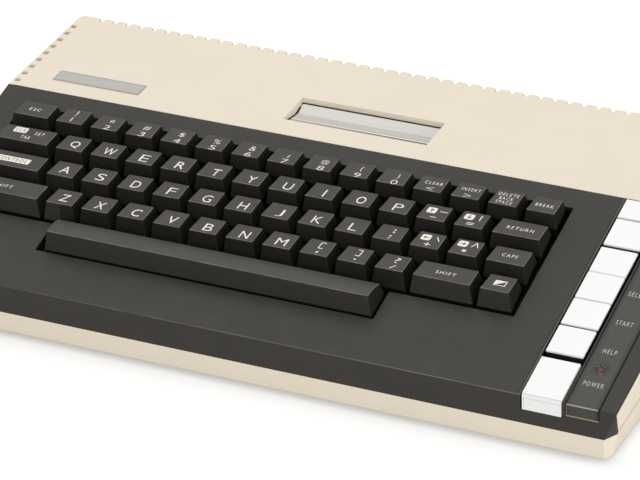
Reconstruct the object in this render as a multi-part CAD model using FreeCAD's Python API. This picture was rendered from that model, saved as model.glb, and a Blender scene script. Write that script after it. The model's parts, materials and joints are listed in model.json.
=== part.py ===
import FreeCAD, Part
import math
import os

from FreeCAD import Vector

# A wedge-shaped home computer: beige two-part case, dark keyboard bezel, full keyboard,
# a column of white console keys and a cartridge well with two doors in the rear deck.
# Millimetres. X runs to the right, Y to the rear, Z up. The origin is on the table,
# under the middle of the case.

# Case
case_width = 375.0
case_depth = 212.0
wall = 2.5
foot_drop = 2.5
lean_rise = 21.4
lean_run = 3.0
side_round = 103.0
front_band = 10.5
bezel_front_rise = 14.5
deck_slope = 14.1
deck_length = 135.3
rear_slope = 2.5
rear_length = 78.2
seam_slope = 4.5
seam_front_rise = 1.4
seam_gap = 0.25
tongue_wall = 1.2
tongue_rise = 3.0
lip = 0.8
corner_run_x = 3.8
corner_run_y = 7.2
rear_reach = 1.6
overrun = 20.0
slight = 0.01
edge_round = 0.9
rear_corner_round = 4.0
trim_round = 1.0

# Cooling slots
rear_slot_pitch = 7.57
side_slot_pitch = 7.48
slot_width = 2.1
slot_bite = 3.4
slot_drop = 13.0
rib_round = 2.2
side_slot_width = 3.0
side_slot_inset = 1.2
side_slot_length = 3.0
side_strap = 1.5
rear_slots = 47
side_slots = 9
side_slot_first = 5.0

# Keyboard
unit = 19.05
field_inset = 16.25
field_units = 15.25
key_slope = 12.4
key_origin_y = -31.2
key_origin_z = 55.2
key_base_gap = 1.4
key_top_inset = 2.6
key_rear_taper = 0.85
key_front_flare = 3.2
key_top_length = 12.5
key_back_flare = 1.9
key_top_fall = 2.1
key_height = 11.6
key_wall = 1.2
key_crown = 1.5
key_edge_round = 0.55
key_travel = 3.8
plunger_radius = 3.0
plunger_fit = 0.1
plunger_length = 19.0
guide_wall = 1.7
guide_top = 10.5
frame_top = 16.0
frame_plate = 1.6
frame_rim = 2.0
frame_margin = 5.0
frame_front = 58.0
frame_back = 46.0
back_plate_drop = 24.8
back_plate = 1.0
well_clearance = 1.06
well_front = 46.0
well_back = 122.4
spring_wire = 0.7
spring_gap = 0.35
spring_height = 2.4
spring_clearance = 0.5

# Space bar
bar_units = 9
bar_offset = 58.2
bar_front_flare = 2.9
bar_top_length = 12.0
bar_top_fall = 2.6
bar_crown = 0.85
bar_front_shift = 0.8
bar_notch_front = 26.9
bar_notch_left = 3.65
bar_notch_right = 0.3
bar_post_length = 20.3
bar_post_radius = 2.0
bar_post_reach = 60.0
wire_radius = 0.8
wire_fit = 0.1
wire_axis_drop = 20.5
wire_arm = 10.0
wire_arm_rise = 1.9
wire_tip = 3.2
wire_tip_hole = 1.2
wire_clip_width = 3.0
wire_clip_depth = 3.2
wire_clip_floor = 1.0
wire_clip_offset = 12.0
well_skirt = 1.6

# Console keys, trims and label strip
console_inset = 26.6
console_width = 18.6
console_gap = 0.9
console_key_gap = 1.0
console_key_width = 17.9
console_rise = 0.8
console_height = 5.0
console_wall = 1.2
console_stem = 2.5
console_stem_length = 11.6
console_travel = 1.8
shelf_depth = 9.0
shelf = 2.0
channel_wall = 1.6
help_span = (28.9, 46.4)
start_span = (47.6, 64.8)
select_span = (65.4, 83.2)
option_span = (83.6, 100.3)
reset_span = (102.2, 120.3)
front_trim_back = 24.7
rear_trim_front = 121.4
rear_trim_back = 134.2
trim_thickness = 1.4
trim_front_drop = 7.3
trim_fit = 0.2
strip_inset = 8.9
strip_width = 15.4
strip_thickness = 1.3
strip_gap = 0.35
strip_front_drop = 6.0
led_along = 25.1
led_inset = 16.8
led_radius = 2.5
led_fit = 0.15
led_height = 5.0
led_flange = 0.6
led_flange_height = 1.0
led_leg = 0.5
led_leg_spread = 1.27
console_board_drop = 14.2
console_board_thickness = 1.6
dome_radius = 4.0
dome_height = 0.7

# Badge plate
badge_width = 48.0
badge_length = 9.6
badge_thickness = 0.8
badge_sink = 0.5
badge_inset = 43.4
badge_along = 15.8
badge_fit = 0.1

# Cartridge well and doors
cartridge_x = -3.9
cartridge_width = 76.2
cartridge_front = 13.8
cartridge_back = 36.7
chute_wall = 2.0
chute_depth = 18.0
door_end_gap = 1.3
door_thickness = 1.4
door_barrel = 1.2
door_pin = 0.8
door_pin_fit = 0.08
door_pin_length = 1.5
rear_door_axis = (34.4, -3.6)
rear_door_tip = (27.9, -5.3)
front_door_axis = (15.5, -3.4)
front_door_tip = (27.3, -5.3)
socket_width = 70.0
socket_depth = 9.0
socket_height = 14.0
socket_slot_width = 60.0
socket_slot = 2.6
socket_slot_depth = 9.0

# Boards and shield
board_clear = 5.0
board_thickness = 1.6
board_inset = 23.5
board_front_inset = 48.0
board_back_inset = 10.0
board_tab_reach = 11.0
board_tab_front = -16.0
board_tab_back = 45.0
standoff_radius = 3.5
standoff_pin = 1.4
standoff_places = ((-0.93, -0.9), (0.93, -0.9), (-0.93, 0.2), (0.93, 0.35), (0.0, -0.9), (0.0, 0.93))
pin_fit = 0.1
chip_height = 4.2
chip_width = 14.0
chip_length = 51.0
small_chip_width = 7.0
small_chip_length = 20.0
small_chip_count = 8
small_chip_pitch = 11.0
small_chip_share = (-0.86, 0.62)
chip_shares = ((-0.78, -0.5), (-0.6, -0.5), (-0.42, -0.5), (0.1, -0.5), (0.3, -0.5), (0.5, -0.5))
shield_inset = 14.0
shield_width = 104.0
shield_front_inset = 12.0
shield_length = 76.0
shield_height = 9.0
shield_sheet = 0.6
shield_hole = 4.0
shield_hole_pitch = 12.0

# Rear and side connectors
port_fit = 0.3
port_floor = 0.4
rocker_share = 0.915
rocker_width = 13.0
rocker_height = 11.0
rocker_proud = 1.6
rocker_crest = 0.7
rocker_body_depth = 15.0
rocker_angle = 8.0
rocker_pin = 1.2
rocker_pin_fit = 0.08
rocker_side_gap = 0.4
rocker_pivot_depth = 6.2
rocker_tail_depth = 7.5
rocker_shell = 1.2
din_radius = 7.0
din_body = 15.0
din_depth = 15.0
din_face_depth = 2.0
din_contact_depth = 7.0
din_contact = 0.9
din_pin_circle = 3.5
power_din_share = 0.78
monitor_din_share = 0.378
din_sockets = ((7, 270.0), (5, 180.0))
quarter_turn = 90.0
jack_share = 0.634
jack_radius = 4.2
jack_pin_radius = 1.6
jack_length = 9.0
jack_box = 12.0
jack_shoulder = 5.0
jack_recess = 7.2
jack_recess_depth = 10.0
jack_recess_wall = 1.2
channel_share = 0.512
channel_slot = 8.0
channel_body = 12.0
channel_body_height = 8.0
channel_body_depth = 8.0
channel_knob = 3.0
channel_travel = 4.0
channel_height = 4.0
expansion_share = -0.024
expansion_width = 76.0
expansion_bottom = 8.0
expansion_height = 12.0
cover_flange = 1.4
cover_edge = 3.0
cover_plug = 4.0
cover_fit = 0.2
peripheral_share = -0.524
peripheral_width = 48.0
peripheral_height = 11.0
peripheral_depth = 16.0
peripheral_wall = 1.4
peripheral_pin_length = 8.0
contact_radius = 0.9
contact_rows = 2
contacts_per_row = 7
contact_pitch = 5.4
joystick_front = -2.0
joystick_pitch = 34.0
joystick_width = 17.0
joystick_height = 8.0
joystick_depth = 12.0
joystick_flange_width = 26.0
joystick_flange = 1.0
joystick_corner = 2.5
joystick_contact = 0.6
joystick_contact_pitch = 2.77

# Feet and screws
foot_radius = 7.0
foot_plug = 2.4
foot_plug_fit = 0.1
foot_inset_x = 24.0
foot_inset_y = 22.0
screw_front_inset_x = 27.5
screw_front_inset_y = 12.0
screw_side_inset = 15.5
screw_middle_y = 54.0
screw_rear_inset = 16.0
screw_boss = 4.2
screw_shank = 1.45
screw_hole = 1.75
screw_head = 2.8
screw_head_height = 1.8
screw_head_hole = 3.2
screw_counterbore = 5.0
screw_bite = 9.0
screw_tip_room = 1.0
screw_split = 16.0
screw_slot = 0.8

half_width = case_width / 2
half_depth = case_depth / 2
front = -half_depth
back = half_depth - rear_reach
side_lean = math.atan2(lean_run, lean_rise)
base_half_width = half_width - lean_run - side_round * (1 - math.cos(side_lean))
floor_top = foot_drop + wall
band_top = foot_drop + front_band
deck_front_z = band_top + bezel_front_rise
slope = math.radians(deck_slope)
boundary_y = front + deck_length * math.cos(slope)
boundary_z = deck_front_z + deck_length * math.sin(slope)
rear_y = boundary_y + rear_length * math.cos(math.radians(rear_slope))
rear_z = boundary_z + rear_length * math.sin(math.radians(rear_slope))
seam_y = front + corner_run_y
seam_z = band_top + seam_front_rise
seam_back_z = seam_z + (back - seam_y) * math.tan(math.radians(seam_slope))
board_z = floor_top + board_clear
board_top = board_z + board_thickness
board_half_width = half_width - board_inset
board_front = front + board_front_inset
board_back = half_depth - board_back_inset
field_left = field_inset - half_width
bar_left = field_left + bar_offset
console_left = half_width - console_inset - console_width
strip_left = half_width - strip_inset - strip_width
led_x = half_width - led_inset
badge_x = badge_inset - half_width
rocker_x = rocker_share * board_half_width
power_din_x = power_din_share * board_half_width
jack_x = jack_share * board_half_width
channel_x = channel_share * board_half_width
monitor_din_x = monitor_din_share * board_half_width
expansion_x = expansion_share * board_half_width
expansion_left = expansion_x - expansion_width / 2
expansion_right = expansion_x + expansion_width / 2
peripheral_x = peripheral_share * board_half_width
rocker_pivot_y = back - rocker_pivot_depth
rocker_z = board_top + port_floor + rocker_height / 2
wire_arm_run = math.sqrt(wire_arm ** 2 - wire_arm_rise ** 2)
sky = rear_z + overrun


def block(x0, x1, y0, y1, z0, z1):
    return Part.makeBox(x1 - x0, y1 - y0, z1 - z0, Vector(x0, y0, z0))


def closed(corners):
    return Part.makePolygon(corners + corners[:1])


def side_prism(points, x0, x1):
    """Closed outline in (y, z), drawn out from x0 to x1."""
    outline = closed([Vector(x0, y, z) for y, z in points])
    return Part.Face(outline).extrude(Vector(x1 - x0, 0, 0))


def rod(radius, length, centre, direction=Vector(0, 0, 1)):
    return Part.makeCylinder(radius, length, centre, direction)


def on_keys(shape):
    """From keyboard coordinates (x, along the rows' slope, above the key tops)."""
    shape.rotate(Vector(0, 0, 0), Vector(1, 0, 0), key_slope)
    shape.translate(Vector(0, key_origin_y, key_origin_z))
    return shape


def on_deck(shape):
    """From bezel coordinates (x, up the slope from the front edge, above the bezel)."""
    shape.rotate(Vector(0, 0, 0), Vector(1, 0, 0), deck_slope)
    shape.translate(Vector(0, front, deck_front_z))
    return shape


def on_rear(shape):
    """From rear deck coordinates (x, back from the bezel, above the deck)."""
    shape.rotate(Vector(0, 0, 0), Vector(1, 0, 0), rear_slope)
    shape.translate(Vector(0, boundary_y, boundary_z))
    return shape


def fuse(shapes):
    return shapes[0].fuse(shapes[1:]).removeSplitter() if len(shapes) > 1 else shapes[0]


def save(name, *solids):
    shape = solids[0] if len(solids) == 1 else Part.makeCompound(list(solids))
    shape.exportStep("parts/" + name + ".step")


def rounded(shape, radius, chosen):
    edges = [edge for edge in shape.Edges if chosen(edge)]
    return shape.makeFillet(radius, edges) if edges else shape


# Case outline, as one closed form and as the hollow inside it


def cross_section(inset):
    """The case across its width: leaning sides that turn upright, drawn front to back."""
    low = foot_drop + inset
    base = base_half_width - inset
    lean = side_lean
    turn_x, turn_z = base + lean_run, foot_drop + lean_rise
    upright = turn_x + side_round * (1 - math.cos(lean))
    top_z = turn_z + side_round * math.sin(lean)
    mid = lean / 2
    mid_x = upright - side_round * (1 - math.cos(mid))
    mid_z = top_z - side_round * math.sin(mid)
    low_x = base + inset * lean_run / lean_rise
    y0 = front - overrun

    def at(x, z):
        return Vector(x, y0, z)

    edges = [
        Part.makeLine(at(-low_x, low), at(low_x, low)),
        Part.makeLine(at(low_x, low), at(turn_x, turn_z)),
        Part.Arc(at(turn_x, turn_z), at(mid_x, mid_z), at(upright, top_z)).toShape(),
        Part.makeLine(at(upright, top_z), at(upright, sky)),
        Part.makeLine(at(upright, sky), at(-upright, sky)),
        Part.makeLine(at(-upright, sky), at(-upright, top_z)),
        Part.Arc(at(-upright, top_z), at(-mid_x, mid_z), at(-turn_x, turn_z)).toShape(),
        Part.makeLine(at(-turn_x, turn_z), at(-low_x, low)),
    ]
    return Part.Face(Part.Wire(edges)).extrude(Vector(0, case_depth + 2 * overrun, 0))


def side_profile(inset):
    """The case from the side, set in all round by inset."""
    drop = inset / math.cos(slope)
    rear_drop = inset / math.cos(math.radians(rear_slope))
    rise = math.tan(slope)
    rear_rise = math.tan(math.radians(rear_slope))
    y0 = front + inset
    z_front = deck_front_z + inset * rise - drop
    meet = (boundary_z - rear_drop - boundary_y * rear_rise) - (deck_front_z - drop - front * rise)
    meet_y = meet / (rise - rear_rise)
    meet_z = deck_front_z - drop + (meet_y - front) * rise
    back_y = rear_y - inset
    back_z = boundary_z - rear_drop + (back_y - boundary_y) * rear_rise
    back_wall = back - inset
    return [
        (y0, foot_drop + inset),
        (y0, z_front),
        (meet_y, meet_z),
        (back_y, back_z),
        (back_wall, seam_back_z),
        (back_wall, foot_drop + inset),
    ]


def case_form(inset):
    width = half_width + overrun
    body = side_prism(side_profile(inset), -width, width).common(cross_section(inset))
    if inset == 0:
        body = rounded(body, rear_corner_round, at_rear_corner)
        body = rounded(body, edge_round, around_top)
    for hand in (-1, 1):
        tip_x = half_width - inset
        low_x = base_half_width + front_band * lean_run / lean_rise - inset
        upper = [
            Vector(hand * (low_x - corner_run_x), front + inset, band_top),
            Vector(hand * low_x, front + corner_run_y + inset, band_top),
            Vector(hand * tip_x, front + inset, deck_front_z),
        ]
        body = body.cut(corner_cutter(upper, hand, band_top, sky))
        lower = [upper[0], upper[1], upper[0] + Vector(0, 0, -front_band)]
        body = body.cut(corner_cutter(lower, hand, 0, band_top))
    return body


def at_rear_corner(edge):
    box = edge.BoundBox
    near = box.YMin > rear_y - edge_round and abs(box.XMax) > base_half_width - wall
    return near and box.ZLength > edge_round


def around_top(edge):
    middle = edge.CenterOfMass
    top = deck_at(middle.y)
    if middle.y > boundary_y:
        top = boundary_z + (middle.y - boundary_y) * math.tan(math.radians(rear_slope))
    return abs(middle.z - top) < slight and abs(middle.y - boundary_y) > slight


def corner_cutter(plane_points, hand, z0, z1):
    """What lies outside the plane through three points, between two heights."""
    a, b, c = plane_points
    normal = (b - a).cross(c - a)
    if normal.x * hand < 0:
        normal = normal * -1
    normal.normalize()
    slab = Part.makeBox(case_depth, case_depth, overrun)
    slab.translate(Vector(-half_depth, -half_depth, 0))
    upright = Vector(0, 0, 1)
    slab.rotate(Vector(0, 0, 0), upright.cross(normal), math.degrees(upright.getAngle(normal)))
    slab.translate(a)
    band = block(-case_width, case_width, -case_depth, case_depth, z0, z1)
    return slab.common(band)


def seam_at(y):
    return seam_z + (y - seam_y) * math.tan(math.radians(seam_slope))


def deck_at(y):
    return deck_front_z + (y - front) * math.tan(slope)


def tube(outer, inner, length, centre, direction=Vector(0, 0, 1)):
    return rod(outer, length, centre, direction).cut(rod(inner, length, centre, direction))


# Case shells and bezel

outer_form = case_form(0)
inner_form = case_form(wall)
shell = outer_form.cut(inner_form)
roots = case_form(wall / 2)
far = half_width + overrun
below = foot_drop - overrun
inside_x = half_width - wall
slab_drop = wall / math.cos(slope)
lip_drop = lip / math.cos(slope)
bezel_back = boundary_y - seam_gap


def bezel_layer(drop, x):
    y_in = front + wall
    points = [
        (front - overrun, band_top),
        (front - overrun, sky),
        (bezel_back, sky),
        (bezel_back, deck_at(bezel_back) - drop),
        (y_in, deck_at(y_in) - drop),
        (y_in, band_top),
    ]
    return side_prism(points, -x, x)


def lip_layer():
    points = [
        (front - overrun, deck_at(front - overrun) - lip_drop),
        (front - overrun, sky),
        (bezel_back, sky),
        (bezel_back, deck_at(bezel_back) - lip_drop),
    ]
    return side_prism(points, -far, far)


def lower_zone(lift):
    points = [
        (front - overrun, below),
        (front - overrun, band_top),
        (seam_y, band_top),
        (seam_y, seam_z + lift),
        (back + overrun, seam_at(back + overrun) + lift),
        (back + overrun, below),
    ]
    return side_prism(points, -far, far)




def corner_zone(low):
    """What lies ahead of the slanting joint between the bezel's end and the upper case's side."""
    points = [
        (front - overrun, low),
        (seam_y, low),
        (seam_y, seam_z),
        (front, deck_front_z),
        (front - overrun, deck_front_z),
    ]
    return side_prism(points, -far, far)


bezel_zone = fuse([bezel_layer(slab_drop, inside_x), lip_layer(), corner_zone(band_top)])


def upper_boss(x, y):
    """A screw boss from the roof down to where the case splits, and its blind pilot hole."""
    post = rod(screw_boss, sky - screw_split, Vector(x, y, screw_split)).common(roots)
    return post, rod(screw_shank, screw_bite + screw_tip_room, Vector(x, y, screw_split))


screw_rows = (screw_middle_y, half_depth - screw_rear_inset)
front_screws = [(hand * (half_width - screw_front_inset_x), front + screw_front_inset_y) for hand in (-1, 1)]
case_screw_places = [(hand * (half_width - screw_side_inset), y) for hand in (-1, 1) for y in screw_rows]


def rear_slot_cutter(length):
    """One cooling slot across an edge that lies at x = 0, between ribs with round ends."""
    narrow, turn = slot_width / 2, rib_round
    near = turn * math.sqrt(0.5)

    def at(x, y):
        return Vector(x, y, -slot_drop)

    edges = [Part.makeLine(at(-slot_bite, -narrow), at(-slot_bite, narrow))]
    for hand in (1, -1):
        inner, outer = at(-turn, hand * narrow), at(0, hand * (narrow + turn))
        middle = at(near - turn, hand * (narrow + turn - near))
        run = [
            Part.makeLine(at(-slot_bite, hand * narrow), inner),
            Part.Arc(inner, middle, outer).toShape(),
            Part.makeLine(outer, at(length, hand * (narrow + turn))),
        ]
        edges += run
    edges.append(Part.makeLine(at(length, narrow + turn), at(length, -narrow - turn)))
    outline = Part.Wire(Part.__sortEdges__(edges))
    return Part.Face(outline).extrude(Vector(0, 0, slot_drop + overrun))


def side_slot_cutter(length):
    """One cooling slot beside an edge that lies at x = 0, under a strap along that edge."""
    half, inner = side_slot_width / 2, side_slot_inset + side_slot_length
    slot = block(-inner, -side_slot_inset, -half, half, -slot_drop, overrun)
    return slot.fuse(block(-inner, length, -half, half, -slot_drop, -side_strap))


def cooling_slots():
    cutters = []
    reach = back - rear_y + wall
    cutter = rear_slot_cutter(reach)
    span = (rear_slots - 1) * rear_slot_pitch
    for i in range(rear_slots):
        slot = cutter.copy()
        slot.rotate(Vector(0, 0, 0), Vector(0, 0, 1), 90)
        slot.translate(Vector(-span / 2 + i * rear_slot_pitch, rear_y, rear_z))
        cutters.append(slot)
    cutter = side_slot_cutter(reach)
    for hand in (-1, 1):
        for i in range(side_slots):
            y = boundary_y + side_slot_first + i * side_slot_pitch
            slot = cutter.copy()
            if hand < 0:
                slot.rotate(Vector(0, 0, 0), Vector(0, 0, 1), 180)
            slot.translate(Vector(hand * half_width, y, boundary_z))
            cutters.append(slot)
    return Part.makeCompound(cutters)


def make_upper_case():
    case = shell.cut(lower_zone(seam_gap)).cut(bezel_zone)
    case = case.cut(corner_zone(below))
    over_bezel = [
        (front, deck_at(front) - slab_drop),
        (front, sky),
        (boundary_y, sky),
        (boundary_y, boundary_z - slab_drop),
    ]
    case = case.cut(side_prism(over_bezel, -inside_x, inside_x))
    x0, x1 = cartridge_x - cartridge_width / 2, cartridge_x + cartridge_width / 2
    t0, t1 = cartridge_front, cartridge_back
    chute = block(x0 - chute_wall, x1 + chute_wall, t0 - chute_wall, t1 + chute_wall, -chute_depth, -wall / 2)
    mouth = block(x0, x1, t0, t1, -chute_depth - overrun, overrun)
    case = case.fuse(on_rear(chute))
    posts = [upper_boss(x, y) for x, y in case_screw_places]
    case = case.fuse([post for post, _ in posts])
    holes = [hole for _, hole in posts]
    for t, h in (rear_door_axis, front_door_axis):
        reach = door_pin_length + door_pin_fit
        centre = Vector(x0 - reach, t, h)
        holes.append(on_rear(rod(door_pin + door_pin_fit, x1 - x0 + 2 * reach, centre, Vector(1, 0, 0))))
    b0, b1 = badge_x - badge_width / 2 - badge_fit, badge_x + badge_width / 2 + badge_fit
    a0, a1 = badge_along - badge_length / 2 - badge_fit, badge_along + badge_length / 2 + badge_fit
    holes.append(on_rear(block(b0, b1, a0, a1, -badge_sink, overrun)))
    case = case.cut([on_rear(mouth)] + holes)
    return case.cut(cooling_slots()).removeSplitter()


def well_outline(grow, low, high):
    """The key well with its notch for the space bar, on the deck, grown by a margin."""
    x0, x1 = field_left - well_clearance - grow, field_left + field_units * unit + well_clearance + grow
    n0, n1 = bar_left - bar_notch_left - grow, bar_left + bar_units * unit + bar_notch_right + grow
    field = block(x0, x1, well_front - grow, well_back + grow, low, high)
    return on_deck(field.fuse(block(n0, n1, bar_notch_front - grow, well_front + wall, low, high)))


def make_bezel():
    panel = shell.common(bezel_zone)
    c0, c1 = console_left - console_gap, console_left + console_width + console_gap
    k0, k1 = front_trim_back + trim_fit, rear_trim_front - trim_fit
    side = channel_wall
    adds = [on_deck(block(c0 - side, c1 + side, k0 - side, k1 + side, -shelf_depth - shelf, -wall / 2))]
    for x in (c0, c1):
        for s in (k0, k1):
            post = rod(side, console_board_drop - shelf_depth, Vector(x, s, -console_board_drop))
            adds.append(on_deck(post))
    skirt = well_outline(well_skirt, -frame_top, -wall / 2)
    adds.append(skirt.common(on_keys(block(-far, far, -far, far, -frame_top, overrun))))
    drilled = [upper_boss(x, y) for x, y in front_screws]
    panel = panel.fuse(adds + [post for post, _ in drilled])

    deep = 2 * wall
    cuts = [block(c0, c1, k0, k1, -shelf_depth, overrun)]
    for s0, s1 in console_spans:
        centre = Vector(console_mid, (s0 + s1) / 2, -shelf_depth - shelf)
        cuts.append(rod(console_stem + plunger_fit, shelf_depth + shelf, centre))
    sink = trim_thickness - console_rise
    cuts.append(block(c0, c1, -overrun, k0, -sink, overrun))
    cuts.append(block(c0, c1, k1, rear_trim_back + trim_fit, -sink, overrun))
    p0, p1 = strip_left - strip_gap, strip_left + strip_width + strip_gap
    cuts.append(block(p0, p1, -overrun, rear_trim_back + trim_fit, -strip_thickness, overrun))
    cuts.append(rod(led_radius + led_fit, deep, Vector(led_x, led_along, -deep)))
    cuts = [on_deck(cut) for cut in cuts]
    cuts.append(well_outline(0, -frame_top - overrun, overrun))
    trim_low = deck_front_z - trim_front_drop - trim_fit
    strip_low = deck_front_z - strip_front_drop - trim_fit
    cuts.append(block(c0, c1, front - overrun, front + trim_thickness, trim_low, sky))
    cuts.append(block(p0, p1, front - overrun, front + strip_thickness, strip_low, sky))
    cuts += [hole for _, hole in drilled]
    return panel.cut(cuts).removeSplitter()


def make_lower_case():
    case = shell.common(lower_zone(0))
    rim = inner_form.cut(case_form(wall + tongue_wall))
    rise = tongue_rise
    y0, y1 = seam_y + wall, half_depth
    low_line = [(y0, seam_at(y0) - rise), (y1, seam_at(y1) - rise)]
    high_line = [(y1, seam_at(y1) + rise), (y0, seam_at(y0) + rise)]
    case = case.fuse(rim.common(side_prism(low_line + high_line, -far, far)))
    adds, cuts = [], []
    for x, y in front_screws + case_screw_places:
        adds.append(rod(screw_boss, screw_split - foot_drop, Vector(x, y, foot_drop)))
        cuts.append(rod(screw_hole, screw_split, Vector(x, y, foot_drop)))
        cuts.append(rod(screw_head_hole, screw_counterbore, Vector(x, y, foot_drop)))
    for x, y in standoffs():
        adds.append(rod(standoff_radius, board_z - foot_drop, Vector(x, y, foot_drop)))
        adds.append(rod(standoff_pin, board_top - foot_drop, Vector(x, y, foot_drop)))
    for x, y in foot_places():
        cuts.append(rod(foot_plug + foot_plug_fit, 2 * wall, Vector(x, y, foot_drop - wall)))
    case = case.fuse(adds + [jack_cup(jack_recess + jack_recess_wall)])
    return case.cut(cuts + port_openings()).removeSplitter()


def jack_cup(radius, inset=0):
    """The round pocket behind the rear wall that the television jack stands in."""
    depth = jack_recess_depth + jack_recess_wall - inset
    return rod(radius, depth, Vector(jack_x, back - depth, board_top + jack_box / 2), Vector(0, 1, 0))


def standoffs():
    return [(a * board_half_width, b * (board_back if b > 0 else -board_front)) for a, b in standoff_places]


def foot_places():
    xs = (-half_width + foot_inset_x, half_width - foot_inset_x)
    ys = (front + foot_inset_y, half_depth - foot_inset_y)
    return [(x, y) for x in xs for y in ys]


def port_openings():
    y0, y1 = back - 3 * wall, back + overrun
    floor = board_top + port_floor
    half = rocker_width / 2
    holes = [block(rocker_x - half, rocker_x + half, y0, y1, floor, floor + rocker_height)]
    for x in (power_din_x, monitor_din_x):
        centre = Vector(x, y0, board_top + din_body / 2)
        holes.append(rod(din_radius + port_fit, y1 - y0, centre, Vector(0, 1, 0)))
    holes.append(jack_cup(jack_recess, jack_recess_wall))
    holes.append(jack_cup(jack_shoulder + pin_fit))
    z, half, high = board_top + channel_height, channel_slot / 2, channel_knob / 2 + pin_fit
    holes.append(block(channel_x - half, channel_x + half, y0, y1, z - high, z + high))
    z = expansion_bottom
    holes.append(block(expansion_left, expansion_right, y0, y1, z, z + expansion_height))
    half, z = peripheral_width / 2 + port_fit, board_top - port_fit
    top = board_top + peripheral_height + port_fit
    holes.append(block(peripheral_x - half, peripheral_x + half, y0, y1, z, top))
    half, top = joystick_width / 2 + port_fit, board_top + joystick_height + port_fit
    for y in joystick_rows:
        holes.append(block(base_half_width - 3 * wall, far, y - half, y + half, z, top))
    return holes


# Keyboard

# Each row from the left: how many units wide the keys are. A number is a typing column.
typing_keys = tuple((column, 1) for column in range(1, 11))
rows = (
    (("escape_key", 1.25), *typing_keys, ("clear_key", 1), ("insert_key", 1), ("delete_key", 1),
     ("break_key", 1)),
    (("tab_key", 1.75), *typing_keys, ("minus_key", 1), ("equals_key", 1), ("return_key", 1.5)),
    (("control_key", 2), *typing_keys, ("plus_key", 1), ("asterisk_key", 1), ("caps_key", 1.25)),
    (("left_shift_key", 2.5), *typing_keys, ("right_shift_key", 1.75), ("inverse_key", 1)),
)
middle_row = 1.5
bar_row = 4
console_mid = console_left + console_width / 2
joystick_rows = (joystick_front, joystick_front + joystick_pitch)
console_keys = {
    "help_key": help_span,
    "start_key": start_span,
    "select_key": select_span,
    "option_key": option_span,
    "reset_key": reset_span,
}
console_spans = list(console_keys.values())


def row_at(row):
    return -unit * (row - middle_row)


def key_cells():
    """Every key but the space bar: node name, left edge, width and row."""
    cells = []
    for row, keys in enumerate(rows):
        x = field_left
        for name, units in keys:
            if name in range(1, 11):
                name = "column_%02d_keys" % name
            cells.append((name, x, units * unit, row))
            x += units * unit
    return cells


def key_middle(cell):
    _, x, width, row = cell
    return x + width / 2, row_at(row) + (key_top_length + key_back_flare - key_front_flare) / 2


def cap_form(x0, x1, s, skin, crown):
    """A key cap between two cell edges: leaning sides and a top that falls to the rear."""
    top = key_top_inset + skin
    further = overrun if skin else 0
    low = -key_height - further
    reach = (key_height + further) / key_height
    lean = (key_top_inset - key_base_gap / 2) * reach
    front_lean = key_front_flare * reach
    back_height = key_height - key_top_fall
    back_lean = key_back_flare * (back_height + further) / back_height
    side = [
        (s - front_lean + skin, low),
        (s + skin, 0),
        (s + key_top_length - skin, -key_top_fall),
        (s + key_top_length + back_lean - skin, low),
    ]
    if crown:
        fall = key_top_fall / key_top_length
        y_front = s + skin - crown * key_front_flare / key_height
        y_back = s + key_top_length - skin + crown * key_back_flare / back_height
        side[1] = (y_front, -crown - (y_front - s) * fall)
        side[2] = (y_back, -crown - (y_back - s) * fall)
    front_s, back_s = s - unit, s + 2 * unit
    splay = key_rear_taper / key_top_length * unit
    ends = []
    for end_s, spread in ((front_s, splay), (back_s, -2 * splay)):
        foot, rim = top - lean - spread, top - spread
        outline = [(x0 + foot, low), (x0 + rim, 0), (x1 - rim, 0), (x1 - foot, low)]
        ends.append(closed([Vector(x, end_s, h) for x, h in outline]))
    return side_prism(side, x0 - unit, x1 + unit).common(Part.makeLoft(ends, True, True))


def key_cap(cell):
    _, x, width, row = cell
    s = row_at(row)
    cap = cap_form(x, x + width, s, 0, 0)
    cap = rounded(cap, key_edge_round, lambda edge: edge.BoundBox.ZMax > -key_height + key_edge_round)
    cap = cap.cut(cap_form(x, x + width, s, key_wall, key_crown))
    mid_x, mid_s = key_middle(cell)
    reach = plunger_length - key_crown - key_top_fall / 2
    return on_keys(cap.fuse(rod(plunger_radius, reach, Vector(mid_x, mid_s, -plunger_length))))


def bar_middle():
    x = bar_left + bar_units * unit / 2
    return x, row_at(bar_row) - bar_front_shift + bar_top_length / 2


def bar_form(skin):
    s = row_at(bar_row) - bar_front_shift
    further = overrun if skin else 0
    low = -key_height - further
    reach = (key_height + further) / key_height
    start, end = (s + skin, -skin), (s + bar_top_length - skin, -bar_top_fall - skin)
    middle = (s + bar_top_length / 2, bar_crown - bar_top_fall / 2 - skin)

    def at(point):
        return Vector(bar_left, point[0], point[1])

    low_front = (s - bar_front_flare * reach + skin, low)
    low_back = (s + bar_top_length + key_back_flare * reach - skin, low)
    wire = Part.Wire([
        Part.makeLine(at(low_front), at(start)),
        Part.Arc(at(start), at(middle), at(end)).toShape(),
        Part.makeLine(at(end), at(low_back)),
        Part.makeLine(at(low_back), at(low_front)),
    ])
    long_form = Part.Face(wire).extrude(Vector(bar_units * unit, 0, 0))
    lean = key_top_inset - key_base_gap / 2
    x0, x1 = bar_left + key_base_gap / 2 + skin, bar_left + bar_units * unit - key_base_gap / 2 - skin
    above = key_height / 2
    low_lean, high_lean = lean * (reach - 1), lean * (1 + above / key_height)
    outline = [(x0 - low_lean, low), (x0 + high_lean, above), (x1 - high_lean, above), (x1 + low_lean, low)]
    across = Part.Face(closed([Vector(x, s - unit, h) for x, h in outline])).extrude(Vector(0, 3 * unit, 0))
    return long_form.common(across)


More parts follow.
